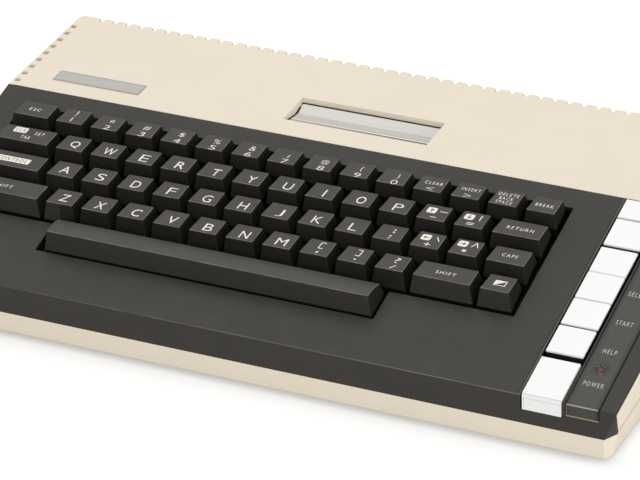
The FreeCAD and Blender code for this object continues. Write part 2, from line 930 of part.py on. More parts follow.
def make_space_bar():
    bar = rounded(bar_form(0), key_edge_round, lambda edge: edge.BoundBox.ZMax > -key_height + key_edge_round)
    bar = bar.cut(bar_form(key_wall))
    x, s = bar_middle()
    stems = [rod(plunger_radius, plunger_length, Vector(x, s, -plunger_length))]
    holes = []
    for post_x in bar_posts():
        stems.append(rod(bar_post_radius, bar_post_length, Vector(post_x, s, -bar_post_length)))
        centre = Vector(post_x - plunger_radius, s, -wire_axis_drop + wire_arm_rise)
        holes.append(rod(wire_tip_hole, 2 * plunger_radius, centre, Vector(1, 0, 0)))
    stems = [stem.common(bar_form(key_wall / 2)) for stem in stems]
    return on_keys(bar.fuse(stems).cut(holes))


def bar_posts():
    middle = bar_middle()[0]
    return middle - bar_post_reach, middle + bar_post_reach


def plungers():
    """Middle and bore radius of every guided post."""
    places = [(key_middle(cell), plunger_radius) for cell in key_cells()]
    x, s = bar_middle()
    places.append(((x, s), plunger_radius))
    places += [((post_x, s), bar_post_radius) for post_x in bar_posts()]
    return places


def frame_extent():
    x0 = field_left - frame_margin
    x1 = field_left + field_units * unit + frame_margin
    return x0, x1, -frame_front, frame_back


def make_keyboard_frame():
    x0, x1, s0, s1 = frame_extent()
    rim = frame_rim
    plate_low = -frame_top - frame_plate
    tray = block(x0, x1, s0, s1, -back_plate_drop, -frame_top)
    tray = tray.cut(block(x0 + rim, x1 - rim, s0 + rim, s1 - rim, -back_plate_drop, plate_low))
    adds, cuts = [], []
    for (x, s), radius in plungers():
        bore = radius + plunger_fit
        adds.append(rod(bore + guide_wall, frame_top - guide_top, Vector(x, s, -frame_top)))
        cuts.append(rod(bore, 2 * frame_top, Vector(x, s, -2 * frame_top)))
    axis_s = bar_middle()[1] + wire_arm_run
    clip_low = -wire_axis_drop - wire_radius - wire_clip_floor
    half_x, half_s = wire_clip_width / 2, wire_clip_depth / 2
    for post_x, hand in zip(bar_posts(), (1, -1)):
        x = post_x + hand * wire_clip_offset
        adds.append(block(x - half_x, x + half_x, axis_s - half_s, axis_s + half_s, clip_low, plate_low))
        centre = Vector(x - half_x, axis_s, -wire_axis_drop)
        cuts.append(rod(wire_radius + wire_fit, wire_clip_width, centre, Vector(1, 0, 0)))
    return on_keys(tray.fuse(adds).cut(cuts).removeSplitter())


def make_bar_wire():
    """A bent wire: a long axle under the frame, an arm at each end and a tip in each post."""
    s = bar_middle()[1]
    axis_s, tip_h = s + wire_arm_run, wire_arm_rise - wire_axis_drop
    left, right = bar_posts()
    out = bar_post_radius + wire_tip
    ends = (left - out, right + out)
    axle = rod(wire_radius, ends[1] - ends[0], Vector(ends[0], axis_s, -wire_axis_drop), Vector(1, 0, 0))
    pieces = [axle]
    for x, post_x, hand in zip(ends, (left, right), (1, -1)):
        elbow, wrist = Vector(x, axis_s, -wire_axis_drop), Vector(x, s, tip_h)
        pieces.append(rod(wire_radius, wire_arm, elbow, wrist - elbow))
        pieces.append(rod(wire_radius, out + bar_post_radius / 2, wrist, Vector(hand, 0, 0)))
        pieces += [Part.makeSphere(wire_radius, elbow), Part.makeSphere(wire_radius, wrist)]
    return on_keys(fuse(pieces))


def make_springs():
    inner = plunger_radius + spring_clearance
    outer = inner + spring_wire
    springs = []
    for (x, s), radius in plungers():
        if radius == plunger_radius:
            springs.append(on_keys(tube(outer, inner, spring_height, Vector(x, s, -guide_top))))
    return springs


def make_back_plate():
    x0, x1, s0, s1 = frame_extent()
    return on_keys(block(x0, x1, s0, s1, -back_plate_drop - back_plate, -back_plate_drop))


# Console column


def make_console_key(span):
    s0, s1 = span
    x0 = console_left - console_gap + console_key_gap
    x1 = x0 + console_key_width
    top, low = console_rise, console_rise - console_height
    cap = block(x0, x1, s0, s1, low, top)
    cap = rounded(cap, key_edge_round, lambda edge: edge.BoundBox.ZMax > low + key_edge_round)
    skin = console_wall
    cap = cap.cut(block(x0 + skin, x1 - skin, s0 + skin, s1 - skin, low - skin, top - skin))
    centre = Vector(console_mid, (s0 + s1) / 2, -console_stem_length)
    return on_deck(cap.fuse(rod(console_stem, console_stem_length + top - skin / 2, centre)))


def make_trims():
    x0, x1 = console_left, console_left + console_width
    top, low = console_rise, console_rise - trim_thickness
    rear = block(x0, x1, rear_trim_front, rear_trim_back, low, top)
    rear = rounded(rear, key_edge_round, lambda edge: edge.BoundBox.ZMin > low + key_edge_round)
    y_in = front + trim_thickness
    face = block(x0, x1, front, y_in, deck_front_z - trim_front_drop, sky)
    flat = on_deck(block(x0, x1, -overrun, front_trim_back, low, top))
    over = on_deck(block(x0, x1, -overrun, front_trim_back + overrun, top, sky))
    ahead = block(x0, x1, front - 2 * overrun, front, below, sky)
    cap = flat.fuse(face.cut(over)).cut(ahead).removeSplitter()
    crest = deck_front_z + console_rise - key_edge_round
    near = front + key_edge_round
    cap = rounded(cap, trim_round, lambda edge: edge.BoundBox.YMax < near and edge.BoundBox.ZMin > crest)
    return on_deck(rear), cap


def make_label_strip():
    x0, x1 = strip_left, strip_left + strip_width
    thick = strip_thickness
    flat = on_deck(block(x0, x1, -overrun, rear_trim_back, -thick, 0))
    face = block(x0, x1, front, front + thick, deck_front_z - strip_front_drop, sky)
    over = on_deck(block(x0, x1, -2 * overrun, overrun, 0, sky))
    ahead = block(x0, x1, front - 2 * overrun, front, below, sky)
    return flat.fuse(face.cut(over)).cut(ahead).removeSplitter()


def make_led():
    top = -strip_thickness - led_fit
    low = top - led_height
    dome = rod(led_radius, led_height, Vector(led_x, led_along, low))
    dome = rounded(dome, led_radius / 2, lambda edge: edge.BoundBox.ZMin > low + led_fit)
    flange = rod(led_radius + led_flange, led_flange_height, Vector(led_x, led_along, low))
    legs = []
    half = led_leg / 2
    for x in (led_x - led_leg_spread, led_x + led_leg_spread):
        legs.append(block(x - half, x + half, led_along - half, led_along + half, -console_board_drop, low))
    return on_deck(fuse([dome, flange] + legs))


def make_console_board():
    x0 = console_left - console_gap - channel_wall
    x1 = led_x + 2 * led_radius
    drop = console_board_drop
    s0, s1 = led_along - 2 * led_radius, rear_trim_front + channel_wall
    solids = [on_deck(block(x0, x1, s0, s1, -drop - console_board_thickness, -drop))]
    for span0, span1 in console_spans:
        solids.append(on_deck(rod(dome_radius, dome_height, Vector(console_mid, (span0 + span1) / 2, -drop))))
    return solids


# Rear deck pieces


def make_badge():
    half_x, half_y = badge_width / 2, badge_length / 2
    x0, x1, t0, t1 = badge_x - half_x, badge_x + half_x, badge_along - half_y, badge_along + half_y
    return on_rear(block(x0, x1, t0, t1, -badge_sink, badge_thickness - badge_sink))


def make_door(axis, tip):
    """One leaf across the well: a barrel with end pins and a plate out to its tip."""
    x0 = cartridge_x - cartridge_width / 2 + door_end_gap
    x1 = cartridge_x + cartridge_width / 2 - door_end_gap
    (t, h), (t_tip, h_tip) = axis, tip
    length = math.hypot(t_tip - t, h_tip - h)
    along = Vector(0, (t_tip - t) / length, (h_tip - h) / length)
    up = Vector(0, -along.z, along.y) if along.y > 0 else Vector(0, along.z, -along.y)
    base = Vector(x0, t, h) + up * (door_barrel - door_thickness)
    rim = base + along * length
    corners = [base, rim, rim + up * door_thickness, base + up * door_thickness]
    leaf = Part.Face(closed(corners)).extrude(Vector(x1 - x0, 0, 0))
    barrel = rod(door_barrel, x1 - x0, Vector(x0, t, h), Vector(1, 0, 0))
    pin_reach = door_end_gap + door_pin_length
    pins = rod(door_pin, x1 - x0 + 2 * pin_reach, Vector(x0 - pin_reach, t, h), Vector(1, 0, 0))
    return on_rear(fuse([leaf, barrel, pins]))


# Inside the case


def make_board():
    edge_half = expansion_width / 2 - cover_edge
    x0, x1 = board_half_width, board_half_width + board_tab_reach
    edge_y = back - wall - cover_plug
    pieces = [
        block(-x0, x0, board_front, board_back, board_z, board_top),
        block(x0, x1, board_tab_front, board_tab_back, board_z, board_top),
        block(expansion_x - edge_half, expansion_x + edge_half, board_back, edge_y, board_z, board_top),
    ]
    holes = [rod(standoff_pin + pin_fit, board_thickness, Vector(x, y, board_z)) for x, y in standoffs()]
    half = jack_recess + jack_recess_wall + port_fit
    notch_y = back - jack_recess_depth - jack_recess_wall - port_fit
    holes.append(block(jack_x - half, jack_x + half, notch_y, board_back, board_z, board_top))
    return fuse(pieces).cut(holes)


def make_chips():
    mid_y, half_run = (board_front + board_back) / 2, (board_back - board_front) / 2
    places = [(a * board_half_width, mid_y + b * half_run, chip_width, chip_length) for a, b in chip_shares]
    a, b = small_chip_share
    for i in range(small_chip_count):
        x = a * board_half_width + i * small_chip_pitch
        places.append((x, mid_y + b * half_run, small_chip_width, small_chip_length))
    chips = []
    for x, y, width, length in places:
        top = board_top + chip_height
        chips.append(block(x - width / 2, x + width / 2, y - length / 2, y + length / 2, board_top, top))
    return chips


def make_shield():
    """A perforated sheet box over the left of the board, open below."""
    x0, y0 = shield_inset - board_half_width, board_front + shield_front_inset
    x1, y1, top, t = x0 + shield_width, y0 + shield_length, board_top + shield_height, shield_sheet
    can = block(x0, x1, y0, y1, board_top, top)
    can = can.cut(block(x0 + t, x1 - t, y0 + t, y1 - t, board_top, top - t))
    holes = []
    across, along = int(shield_width / shield_hole_pitch), int(shield_length / shield_hole_pitch)
    for i in range(1, across):
        for j in range(1, along):
            centre = Vector(x0 + i * shield_hole_pitch, y0 + j * shield_hole_pitch, board_top + t)
            holes.append(rod(shield_hole / 2, shield_height, centre))
    return can.cut(holes)


def make_cartridge_socket():
    y = boundary_y + (cartridge_front + cartridge_back) / 2 * math.cos(math.radians(rear_slope))
    top = board_top + socket_height

    def box(width, depth, low):
        return block(cartridge_x - width / 2, cartridge_x + width / 2, y - depth / 2, y + depth / 2, low, top)

    slot = box(socket_slot_width, socket_slot, top - socket_slot_depth)
    return box(socket_width, socket_depth, board_top).cut(slot)


# Connectors


def make_rocker():
    """Power rocker, tipped to its off side, turning about a pin across its housing."""
    half = rocker_width / 2 - rocker_side_gap
    reach = rocker_height / 2 - rocker_side_gap - rocker_proud / 2
    z = rocker_z
    x0, x1 = rocker_x - half, rocker_x + half
    radius = math.hypot(reach, rocker_pivot_depth)
    pad = rod(radius + rocker_proud / 2, x1 - x0, Vector(x0, rocker_pivot_y, z), Vector(1, 0, 0))
    pad = pad.common(block(x0, x1, back - wall, back + rocker_crest, z - reach, z + reach))
    tail = block(x0, x1, back - rocker_tail_depth, back - wall, z - reach / 2, z + reach / 2)
    pin_half = half + rocker_side_gap + rocker_shell / 2
    pin = rod(rocker_pin, 2 * pin_half, Vector(rocker_x - pin_half, rocker_pivot_y, z), Vector(1, 0, 0))
    rocker = fuse([pad, tail, pin])
    rocker.rotate(Vector(rocker_x, rocker_pivot_y, z), Vector(1, 0, 0), -rocker_angle)
    return rocker


def make_switch_bodies():
    """The rocker's housing and the channel switch's housing, each open to the rear."""
    y1 = back - wall
    inner, outer = rocker_width / 2, rocker_width / 2 + rocker_shell
    low, high = board_top + port_floor, rocker_z + rocker_height / 2
    depth, top = rocker_body_depth, high + rocker_shell
    body = block(rocker_x - outer, rocker_x + outer, y1 - depth, y1, board_top, top)
    body = body.cut(block(rocker_x - inner, rocker_x + inner, y1 - depth / 2, y1, low, high))
    centre = Vector(rocker_x - outer, rocker_pivot_y, rocker_z)
    body = body.cut(rod(rocker_pin + rocker_pin_fit, 2 * outer, centre, Vector(1, 0, 0)))
    half, depth, z = channel_body / 2, channel_body_depth, board_top + channel_height
    top = board_top + channel_body_height
    slide = block(channel_x - half, channel_x + half, y1 - depth, y1, board_top, top)
    run, high = channel_slot / 2, channel_knob / 2 + pin_fit
    slide = slide.cut(block(channel_x - run, channel_x + run, y1 - depth / 2, y1, z - high, z + high))
    return body, slide


def make_channel_knob():
    half = channel_knob / 2
    x, z = channel_x - channel_travel / 2, board_top + channel_height
    y0 = back - wall - channel_body_depth / 2 + port_fit
    return block(x - half, x + half, y0, back + channel_knob / 4, z - half, z + half)


def make_din_sockets():
    """The power and monitor sockets: a sunk round face with its ring of contact holes."""
    sockets = []
    y0, y1 = back - din_face_depth, back - wall
    half = din_body / 2
    z = board_top + half
    for x, (pins, sweep) in zip((power_din_x, monitor_din_x), din_sockets):
        body = block(x - half, x + half, y1 - din_depth, y1, board_top, board_top + din_body)
        body = body.fuse(rod(din_radius, wall, Vector(x, y1, z), Vector(0, 1, 0)))
        holes = [rod(din_radius - rocker_shell, din_face_depth, Vector(x, y0, z), Vector(0, 1, 0))]
        for i in range(pins):
            angle = math.radians(quarter_turn - sweep / 2 + i * sweep / (pins - 1))
            across, up = din_pin_circle * math.cos(angle), din_pin_circle * math.sin(angle)
            centre = Vector(x + across, y0 - din_contact_depth, z + up)
            holes.append(rod(din_contact, din_contact_depth, centre, Vector(0, 1, 0)))
        sockets.append(body.cut(holes))
    return sockets


def make_jack():
    y0, y1 = back - jack_recess_depth - jack_recess_wall, back - jack_length
    half = jack_box / 2
    z = board_top + half
    box = block(jack_x - half, jack_x + half, y0 - jack_box, y0, board_top, board_top + jack_box)
    shoulder = rod(jack_shoulder, y1 - y0, Vector(jack_x, y0, z), Vector(0, 1, 0))
    sleeve = rod(jack_radius, jack_length, Vector(jack_x, y1, z), Vector(0, 1, 0))
    bore = rod(jack_pin_radius, jack_length, Vector(jack_x, y1, z), Vector(0, 1, 0))
    return box.fuse([shoulder, sleeve]).cut(bore)


def make_expansion_cover():
    x0, x1 = expansion_left, expansion_right
    z0, z1 = expansion_bottom, expansion_bottom + expansion_height
    over, fit, skin = cover_flange, cover_fit, cover_fit + key_wall
    plate = block(x0 - over, x1 + over, back, back + cover_flange, z0 - over, z1 + over)
    plate = rounded(plate, key_edge_round, lambda edge: edge.BoundBox.YMin > back + key_edge_round)
    plug = block(x0 + fit, x1 - fit, back - cover_plug, back, z0 + fit, z1 - fit)
    return plate.fuse(plug.cut(block(x0 + skin, x1 - skin, back - cover_plug, back, z0 + skin, z1 - skin)))


def make_peripheral_socket():
    half = peripheral_width / 2
    y0, y1 = back - wall - peripheral_depth, back
    z0, z1 = board_top, board_top + peripheral_height
    t = peripheral_wall
    body = block(peripheral_x - half, peripheral_x + half, y0, y1, z0, z1)
    body = body.cut(block(peripheral_x - half + t, peripheral_x + half - t, y0 + t, y1, z0 + t, z1 - t))
    pins = []
    for row in range(contact_rows):
        z = z0 + (row + 1) * peripheral_height / (contact_rows + 1)
        for i in range(contacts_per_row - row):
            x = peripheral_x + (i - (contacts_per_row - row - 1) / 2) * contact_pitch
            pins.append(rod(contact_radius, peripheral_pin_length, Vector(x, y0 + t, z), Vector(0, 1, 0)))
    return body.fuse(pins)


def make_joysticks():
    ports = []
    inner = base_half_width - wall
    z0, z1 = board_top, board_top + joystick_height
    half, wide, slant = joystick_width / 2, joystick_flange_width / 2, joystick_corner
    for y in joystick_rows:
        flange_x = inner - joystick_flange

        def shroud(rim, x0):
            top, foot = half - rim, half - slant - rim
            low, high = z0 + port_fit + rim, z1 - port_fit - rim
            points = [(y - top, high), (y - foot, low), (y + foot, low), (y + top, high)]
            return side_prism(points, x0, base_half_width)

        flange = block(flange_x, inner, y - wide, y + wide, z0, z1)
        rear = block(inner - joystick_depth, flange_x, y - half, y + half, z0, z1)
        port = fuse([flange, rear, shroud(0, inner)]).cut(shroud(joystick_flange, inner - wall))
        pins = []
        for side, count in ((1, 5), (-1, 4)):
            z = (z0 + z1) / 2 + side * joystick_contact * 2
            for k in range(count):
                pin_y = y + (k - (count - 1) / 2) * joystick_contact_pitch
                centre = Vector(inner - wall, pin_y, z)
                pins.append(rod(joystick_contact, wall + joystick_flange, centre, Vector(1, 0, 0)))
        ports.append(port.fuse(pins))
    return ports


# Feet and screws


def make_feet():
    feet = []
    for x, y in foot_places():
        pad = rod(foot_radius, foot_drop, Vector(x, y, 0))
        pad = rounded(pad, trim_round / 2, lambda edge: edge.BoundBox.ZMax < trim_round / 2)
        feet.append(pad.fuse(rod(foot_plug, foot_drop + wall, Vector(x, y, 0))))
    return feet


def make_screws():
    screws = []
    for x, y in front_screws + case_screw_places:
        seat = foot_drop + screw_counterbore
        head = rod(screw_head, screw_head_height, Vector(x, y, seat - screw_head_height))
        half = screw_slot / 2
        for a, b in ((screw_head / 2, half), (half, screw_head / 2)):
            z0 = seat - screw_head_height
            head = head.cut(block(x - a, x + a, y - b, y + b, z0, z0 + screw_slot))
        shank = rod(screw_shank, screw_split + screw_bite - seat, Vector(x, y, seat))
        screws.append(head.fuse(shank))
    return screws


def build():
    os.makedirs("parts", exist_ok=True)
    save("upper_case", make_upper_case())
    save("keyboard_bezel", make_bezel())
    save("lower_case", make_lower_case())
    nodes = {}
    for cell in key_cells():
        nodes.setdefault(cell[0], []).append(key_cap(cell))
    for name, caps in nodes.items():
        save(name, *caps)
    save("space_bar", make_space_bar())
    save("keyboard_frame", make_keyboard_frame())
    save("keyboard_back_plate", make_back_plate())
    save("key_springs", *make_springs())
    save("space_bar_wire", make_bar_wire())
    for name, span in console_keys.items():
        save("console_" + name, make_console_key(span))
    save("console_trim", *make_trims())
    save("label_strip", make_label_strip())
    save("power_led", make_led())
    save("console_board", *make_console_board())
    save("badge_plate", make_badge())
    save("cartridge_door_rear", make_door(rear_door_axis, rear_door_tip))
    save("cartridge_door_front", make_door(front_door_axis, front_door_tip))
    save("cartridge_socket", make_cartridge_socket())
    save("main_board", make_board())
    save("board_chips", *make_chips())
    save("rf_shield", make_shield())
    save("power_rocker", make_rocker())
    save("switch_bodies", *make_switch_bodies())
    save("channel_knob", make_channel_knob())
    save("din_sockets", *make_din_sockets())
    save("television_jack", make_jack())
    save("expansion_cover", make_expansion_cover())
    save("peripheral_socket", make_peripheral_socket())
    save("joystick_ports", *make_joysticks())
    save("rubber_feet", *make_feet())
    save("case_screws", *make_screws())


build()
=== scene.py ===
import json
import math

import bpy
import bmesh
from mathutils import Matrix, Vector


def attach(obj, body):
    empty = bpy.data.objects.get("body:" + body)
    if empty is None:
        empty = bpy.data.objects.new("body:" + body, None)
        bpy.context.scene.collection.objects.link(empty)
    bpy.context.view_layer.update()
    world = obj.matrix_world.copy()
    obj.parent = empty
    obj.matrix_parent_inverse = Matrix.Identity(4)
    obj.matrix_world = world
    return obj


# Looks of a low wedge-shaped home computer. Metres, in the frame of the solids: X to the right,
# Y to the rear, Z up, the table at zero. Sizes read in millimetres are multiplied by MM.

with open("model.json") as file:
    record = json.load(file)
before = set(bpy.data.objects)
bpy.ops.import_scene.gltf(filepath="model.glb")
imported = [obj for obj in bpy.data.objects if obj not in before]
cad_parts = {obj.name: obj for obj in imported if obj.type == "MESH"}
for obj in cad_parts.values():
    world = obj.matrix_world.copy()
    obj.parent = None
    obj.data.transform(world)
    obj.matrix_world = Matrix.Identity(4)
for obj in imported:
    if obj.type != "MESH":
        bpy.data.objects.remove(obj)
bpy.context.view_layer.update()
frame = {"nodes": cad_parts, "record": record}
nodes = frame["nodes"]
MM = 0.001


# The machine's driving places, in millimetres. A pair is the Y and Z of a line along X.

KEY_SLOPE = math.radians(12.4)
KEY_FIELD_MIDDLE = (-31.2, 55.2)
KEY_FALL = math.atan2(2.1, 12.5)
UNIT = 19.05
FIELD_LEFT = -171.25
DECK_SLOPE = math.radians(14.1)
DECK_EDGE = (-106.0, 27.5)
REAR_SLOPE = math.radians(2.5)
REAR_DECK_FOOT = (25.2239, 60.4605)
CASE_JOINT_SLOPE = math.radians(4.5)
CASE_JOINT = (-98.8, 14.4)


# Camera

CAMERA_PLACE = (670.840, -1398.772, 877.300)
CAMERA_RIGHT = (0.9070325637, 0.4199772130, -0.0301839199)
CAMERA_UP = (-0.1789006425, 0.4492827382, 0.8752939970)
CAMERA_LENS = 207.62


def photo_camera():
    """Stands where the photograph was taken: from the front right, close to 29 degrees up."""
    place = Vector(CAMERA_PLACE) * MM
    right = Vector(CAMERA_RIGHT)
    back = right.cross(Vector(CAMERA_UP)).normalized()
    up = back.cross(right).normalized()
    data = bpy.data.cameras.new("photo_camera")
    data.lens = CAMERA_LENS
    data.sensor_width = 36.0
    data.clip_start = 0.1
    data.clip_end = 50.0
    camera = bpy.data.objects.new("photo_camera", data)
    turn = Matrix((right, up, back)).transposed().to_4x4()
    camera.matrix_world = Matrix.Translation(place) @ turn
    bpy.context.scene.collection.objects.link(camera)
    bpy.context.scene.camera = camera


photo_camera()


# Shader node helpers

def socket_group(name, inputs, outputs):
    """An empty shader group with named inputs and outputs, and its two end nodes."""
    tree = bpy.data.node_groups.new(name, "ShaderNodeTree")
    for label, kind, value in inputs:
        socket = tree.interface.new_socket(label, in_out="INPUT", socket_type=kind)
        socket.default_value = value
    for label, kind in outputs:
        tree.interface.new_socket(label, in_out="OUTPUT", socket_type=kind)
    start = tree.nodes.new("NodeGroupInput")
    end = tree.nodes.new("NodeGroupOutput")
    return tree, start, end


def noise(tree, vector, scale, detail, roughness=0.5):
    node = tree.nodes.new("ShaderNodeTexNoise")
    node.inputs["Detail"].default_value = detail
    node.inputs["Roughness"].default_value = roughness
    if isinstance(scale, (int, float)):
        node.inputs["Scale"].default_value = scale
    else:
        tree.links.new(scale, node.inputs["Scale"])
    tree.links.new(vector, node.inputs["Vector"])
    return node.outputs["Fac"]


def spread(tree, value, low, high, to_low=0.0, to_high=1.0):
    """Maps a value's useful band to another, clamped."""
    node = tree.nodes.new("ShaderNodeMapRange")
    node.inputs["From Min"].default_value = low
    node.inputs["From Max"].default_value = high
    node.inputs["To Min"].default_value = to_low
    node.inputs["To Max"].default_value = to_high
    tree.links.new(value, node.inputs["Value"])
    return node.outputs["Result"]


def maths(tree, operation, first, second=0.0):
    node = tree.nodes.new("ShaderNodeMath")
    node.operation = operation
    for socket, value in zip(node.inputs, (first, second)):
        if isinstance(value, (int, float)):
            socket.default_value = value
        else:
            tree.links.new(value, socket)
    return node.outputs["Value"]


def blend_colour(tree, factor, first, second):
    """first where the factor is 0, second where it is 1."""
    node = tree.nodes.new("ShaderNodeMix")
    node.data_type = "RGBA"
    if isinstance(factor, (int, float)):
        node.inputs[0].default_value = factor
    else:
        tree.links.new(factor, node.inputs[0])
    for socket, value in ((node.inputs[6], first), (node.inputs[7], second)):
        if isinstance(value, tuple):
            socket.default_value = (*value, 1.0)
        else:
            tree.links.new(value, socket)
    return node.outputs[2]


def object_place(tree):
    return tree.nodes.new("ShaderNodeTexCoord").outputs["Object"]


def coordinate(tree, axis):
    """One coordinate of the place on the machine, in metres."""
    split = tree.nodes.new("ShaderNodeSeparateXYZ")
    tree.links.new(object_place(tree), split.inputs["Vector"])
    return split.outputs[axis]


def side_view(tree, line, slope=0.0):
    """Run and rise in millimetres from a line along X, in a frame that climbs by the slope to the rear."""
    y, z = line
    measured = []
    for run, rise in ((math.cos(slope), math.sin(slope)), (-math.sin(slope), math.cos(slope))):
        dot = tree.nodes.new("ShaderNodeVectorMath")
        dot.operation = "DOT_PRODUCT"
        dot.inputs[1].default_value = (0.0, run / MM, rise / MM)
        tree.links.new(object_place(tree), dot.inputs[0])
        measured.append(maths(tree, "SUBTRACT", dot.outputs["Value"], run * y + rise * z))
    return measured


def band(tree, value, low, high, soft=0.1):
    """1 between two limits and 0 outside them, with soft ends."""
    rise = spread(tree, value, low - soft, low + soft)
    fall = spread(tree, value, high + soft, high - soft)
    return maths(tree, "MULTIPLY", rise, fall)


def both(tree, first, *others):
    for other in others:
        first = maths(tree, "MULTIPLY", first, other)
    return first


def distance(tree, across, along):
    across_square = maths(tree, "MULTIPLY", across, across)
    along_square = maths(tree, "MULTIPLY", along, along)
    return maths(tree, "SQRT", maths(tree, "ADD", across_square, along_square))


def near_line(tree, line, radius):
    """1 within the radius of a line along X that passes through a place in the side view."""
    return spread(tree, distance(tree, *side_view(tree, line)), radius + 0.1, radius - 0.1)


def paint(material, mask, colour):
    """Lays a colour over the material's own where the mask is 1."""
    tree = material.node_tree
    socket = tree.nodes["Principled BSDF"].inputs["Base Color"]
    tree.links.new(blend_colour(tree, mask, socket.links[0].from_socket, colour), socket)


def facing(tree, axis="Z"):
    """How far the surface faces along an axis."""
    split = tree.nodes.new("ShaderNodeSeparateXYZ")
    tree.links.new(tree.nodes.new("ShaderNodeNewGeometry").outputs["Normal"], split.inputs["Vector"])
    return split.outputs[axis]


# Shared effects

def make_moulded_grain():
    """Fine spark-etched texture of a moulded surface: its height, and an uneven tone."""
    tree, start, end = socket_group(
        "moulded_grain",
        [("Grain Scale", "NodeSocketFloat", 2600.0)],
        [("Height", "NodeSocketFloat"), ("Tone", "NodeSocketFloat")],
    )
    place = object_place(tree)
    scale = start.outputs["Grain Scale"]
    fine = noise(tree, place, scale, 3.0, 0.6)
    broad = noise(tree, place, 38.0, 4.0, 0.55)
    tree.links.new(fine, end.inputs["Height"])
    mottled = maths(tree, "ADD", maths(tree, "MULTIPLY", fine, 0.45), maths(tree, "MULTIPLY", broad, 0.55))
    tree.links.new(spread(tree, mottled, 0.36, 0.64), end.inputs["Tone"])
    return tree


def make_edge_rub_and_highlight():
    """A mask along outer and inner edges, for wear and a painted highlight, broken up where hands have not
    worn it.
    """
    tree, start, end = socket_group(
        "edge_rub_and_highlight",
        [("Width", "NodeSocketFloat", 0.0005)],
        [("Mask", "NodeSocketFloat")],
    )
    bevel = tree.nodes.new("ShaderNodeBevel")
    bevel.samples = 6
    tree.links.new(start.outputs["Width"], bevel.inputs["Radius"])
    surface = tree.nodes.new("ShaderNodeNewGeometry")
    dot = tree.nodes.new("ShaderNodeVectorMath")
    dot.operation = "DOT_PRODUCT"
    tree.links.new(bevel.outputs["Normal"], dot.inputs[0])
    tree.links.new(surface.outputs["Normal"], dot.inputs[1])
    edge = spread(tree, dot.outputs["Value"], 1.0, 0.86)
    patches = spread(tree, noise(tree, object_place(tree), 260.0, 3.0), 0.35, 0.62, 0.35, 1.0)
    tree.links.new(maths(tree, "MULTIPLY", edge, patches), end.inputs["Mask"])
    return tree


def make_settled_dust():
    """A mask of pale dust: light on faces that look up, and gathered in faint drifts."""
    tree, start, end = socket_group(
        "settled_dust",
        [("Amount", "NodeSocketFloat", 0.3)],
        [("Mask", "NodeSocketFloat")],
    )
    level = spread(tree, facing(tree), 0.35, 0.98)
    drifts = spread(tree, noise(tree, object_place(tree), 85.0, 5.0, 0.65), 0.42, 0.75)
    specks = spread(tree, noise(tree, object_place(tree), 900.0, 2.0), 0.62, 0.72)
    mixed = maths(tree, "ADD", maths(tree, "MULTIPLY", drifts, 0.6), maths(tree, "MULTIPLY", specks, 0.4))
    dusty = maths(tree, "MULTIPLY", level, mixed)
    tree.links.new(maths(tree, "MULTIPLY", dusty, start.outputs["Amount"]), end.inputs["Mask"])
    return tree


def make_metal_lines():
    """Fine lines along X, as rolling or brushing leaves them: a height and a tone."""
    tree, start, end = socket_group(
        "metal_lines",
        [("Line Scale", "NodeSocketFloat", 900.0)],
        [("Height", "NodeSocketFloat"), ("Tone", "NodeSocketFloat")],
    )
    stretch = tree.nodes.new("ShaderNodeVectorMath")
    stretch.operation = "MULTIPLY"
    stretch.inputs[1].default_value = (0.02, 1.0, 1.0)
    tree.links.new(object_place(tree), stretch.inputs[0])
    lines = noise(tree, stretch.outputs["Vector"], start.outputs["Line Scale"], 4.0, 0.7)
    tree.links.new(lines, end.inputs["Height"])
    tree.links.new(spread(tree, lines, 0.3, 0.7), end.inputs["Tone"])
    return tree


MOULDED_GRAIN = make_moulded_grain()
EDGE_RUB_AND_HIGHLIGHT = make_edge_rub_and_highlight()
SETTLED_DUST = make_settled_dust()
METAL_LINES = make_metal_lines()


# Materials

def blank_material(name, roughness, metallic=0.0, specular=0.5):
    material = bpy.data.materials.new(name)
    material.use_nodes = True
    shader = material.node_tree.nodes["Principled BSDF"]
    shader.inputs["Roughness"].default_value = roughness
    shader.inputs["Metallic"].default_value = metallic
    shader.inputs["Specular IOR Level"].default_value = specular
    return material, material.node_tree, shader


def use_group(tree, group, **values):
    node = tree.nodes.new("ShaderNodeGroup")
    node.node_tree = group
    for label, value in values.items():
        node.inputs[label.replace("_", " ")].default_value = value
    return node


def bump(tree, shader, height, depth, strength=1.0):
    node = tree.nodes.new("ShaderNodeBump")
    node.inputs["Distance"].default_value = depth
    node.inputs["Strength"].default_value = strength
    tree.links.new(height, node.inputs["Height"])
    tree.links.new(node.outputs["Normal"], shader.inputs["Normal"])


def moulded_plastic(name, dark, pale, rub_and_highlight_colour, roughness, grain=2600.0, depth=0.00003, dust=0.2,
                    dust_colour=(0.45, 0.43, 0.38), width=0.0005, rub_and_highlight=1.0, specular=0.5):
    """Moulded plastic: two near tones, etched grain, edges lightened by wear and by a painted highlight, and
    a little dust.
    """
    material, tree, shader = blank_material(name, roughness, specular=specular)
    grained = use_group(tree, MOULDED_GRAIN, Grain_Scale=grain)
    edges = use_group(tree, EDGE_RUB_AND_HIGHLIGHT, Width=width)
    dusty = use_group(tree, SETTLED_DUST, Amount=dust)
    colour = blend_colour(tree, grained.outputs["Tone"], dark, pale)
    # Edges lightened for wear and as a painted highlight.
    worn = maths(tree, "MULTIPLY", edges.outputs["Mask"], rub_and_highlight)
    colour = blend_colour(tree, worn, colour, rub_and_highlight_colour)
    colour = blend_colour(tree, dusty.outputs["Mask"], colour, dust_colour)
    tree.links.new(colour, shader.inputs["Base Color"])
    rough = spread(tree, grained.outputs["Tone"], 0.0, 1.0, roughness - 0.05, roughness + 0.05)
    tree.links.new(rough, shader.inputs["Roughness"])
    bump(tree, shader, grained.outputs["Height"], depth)
    return material


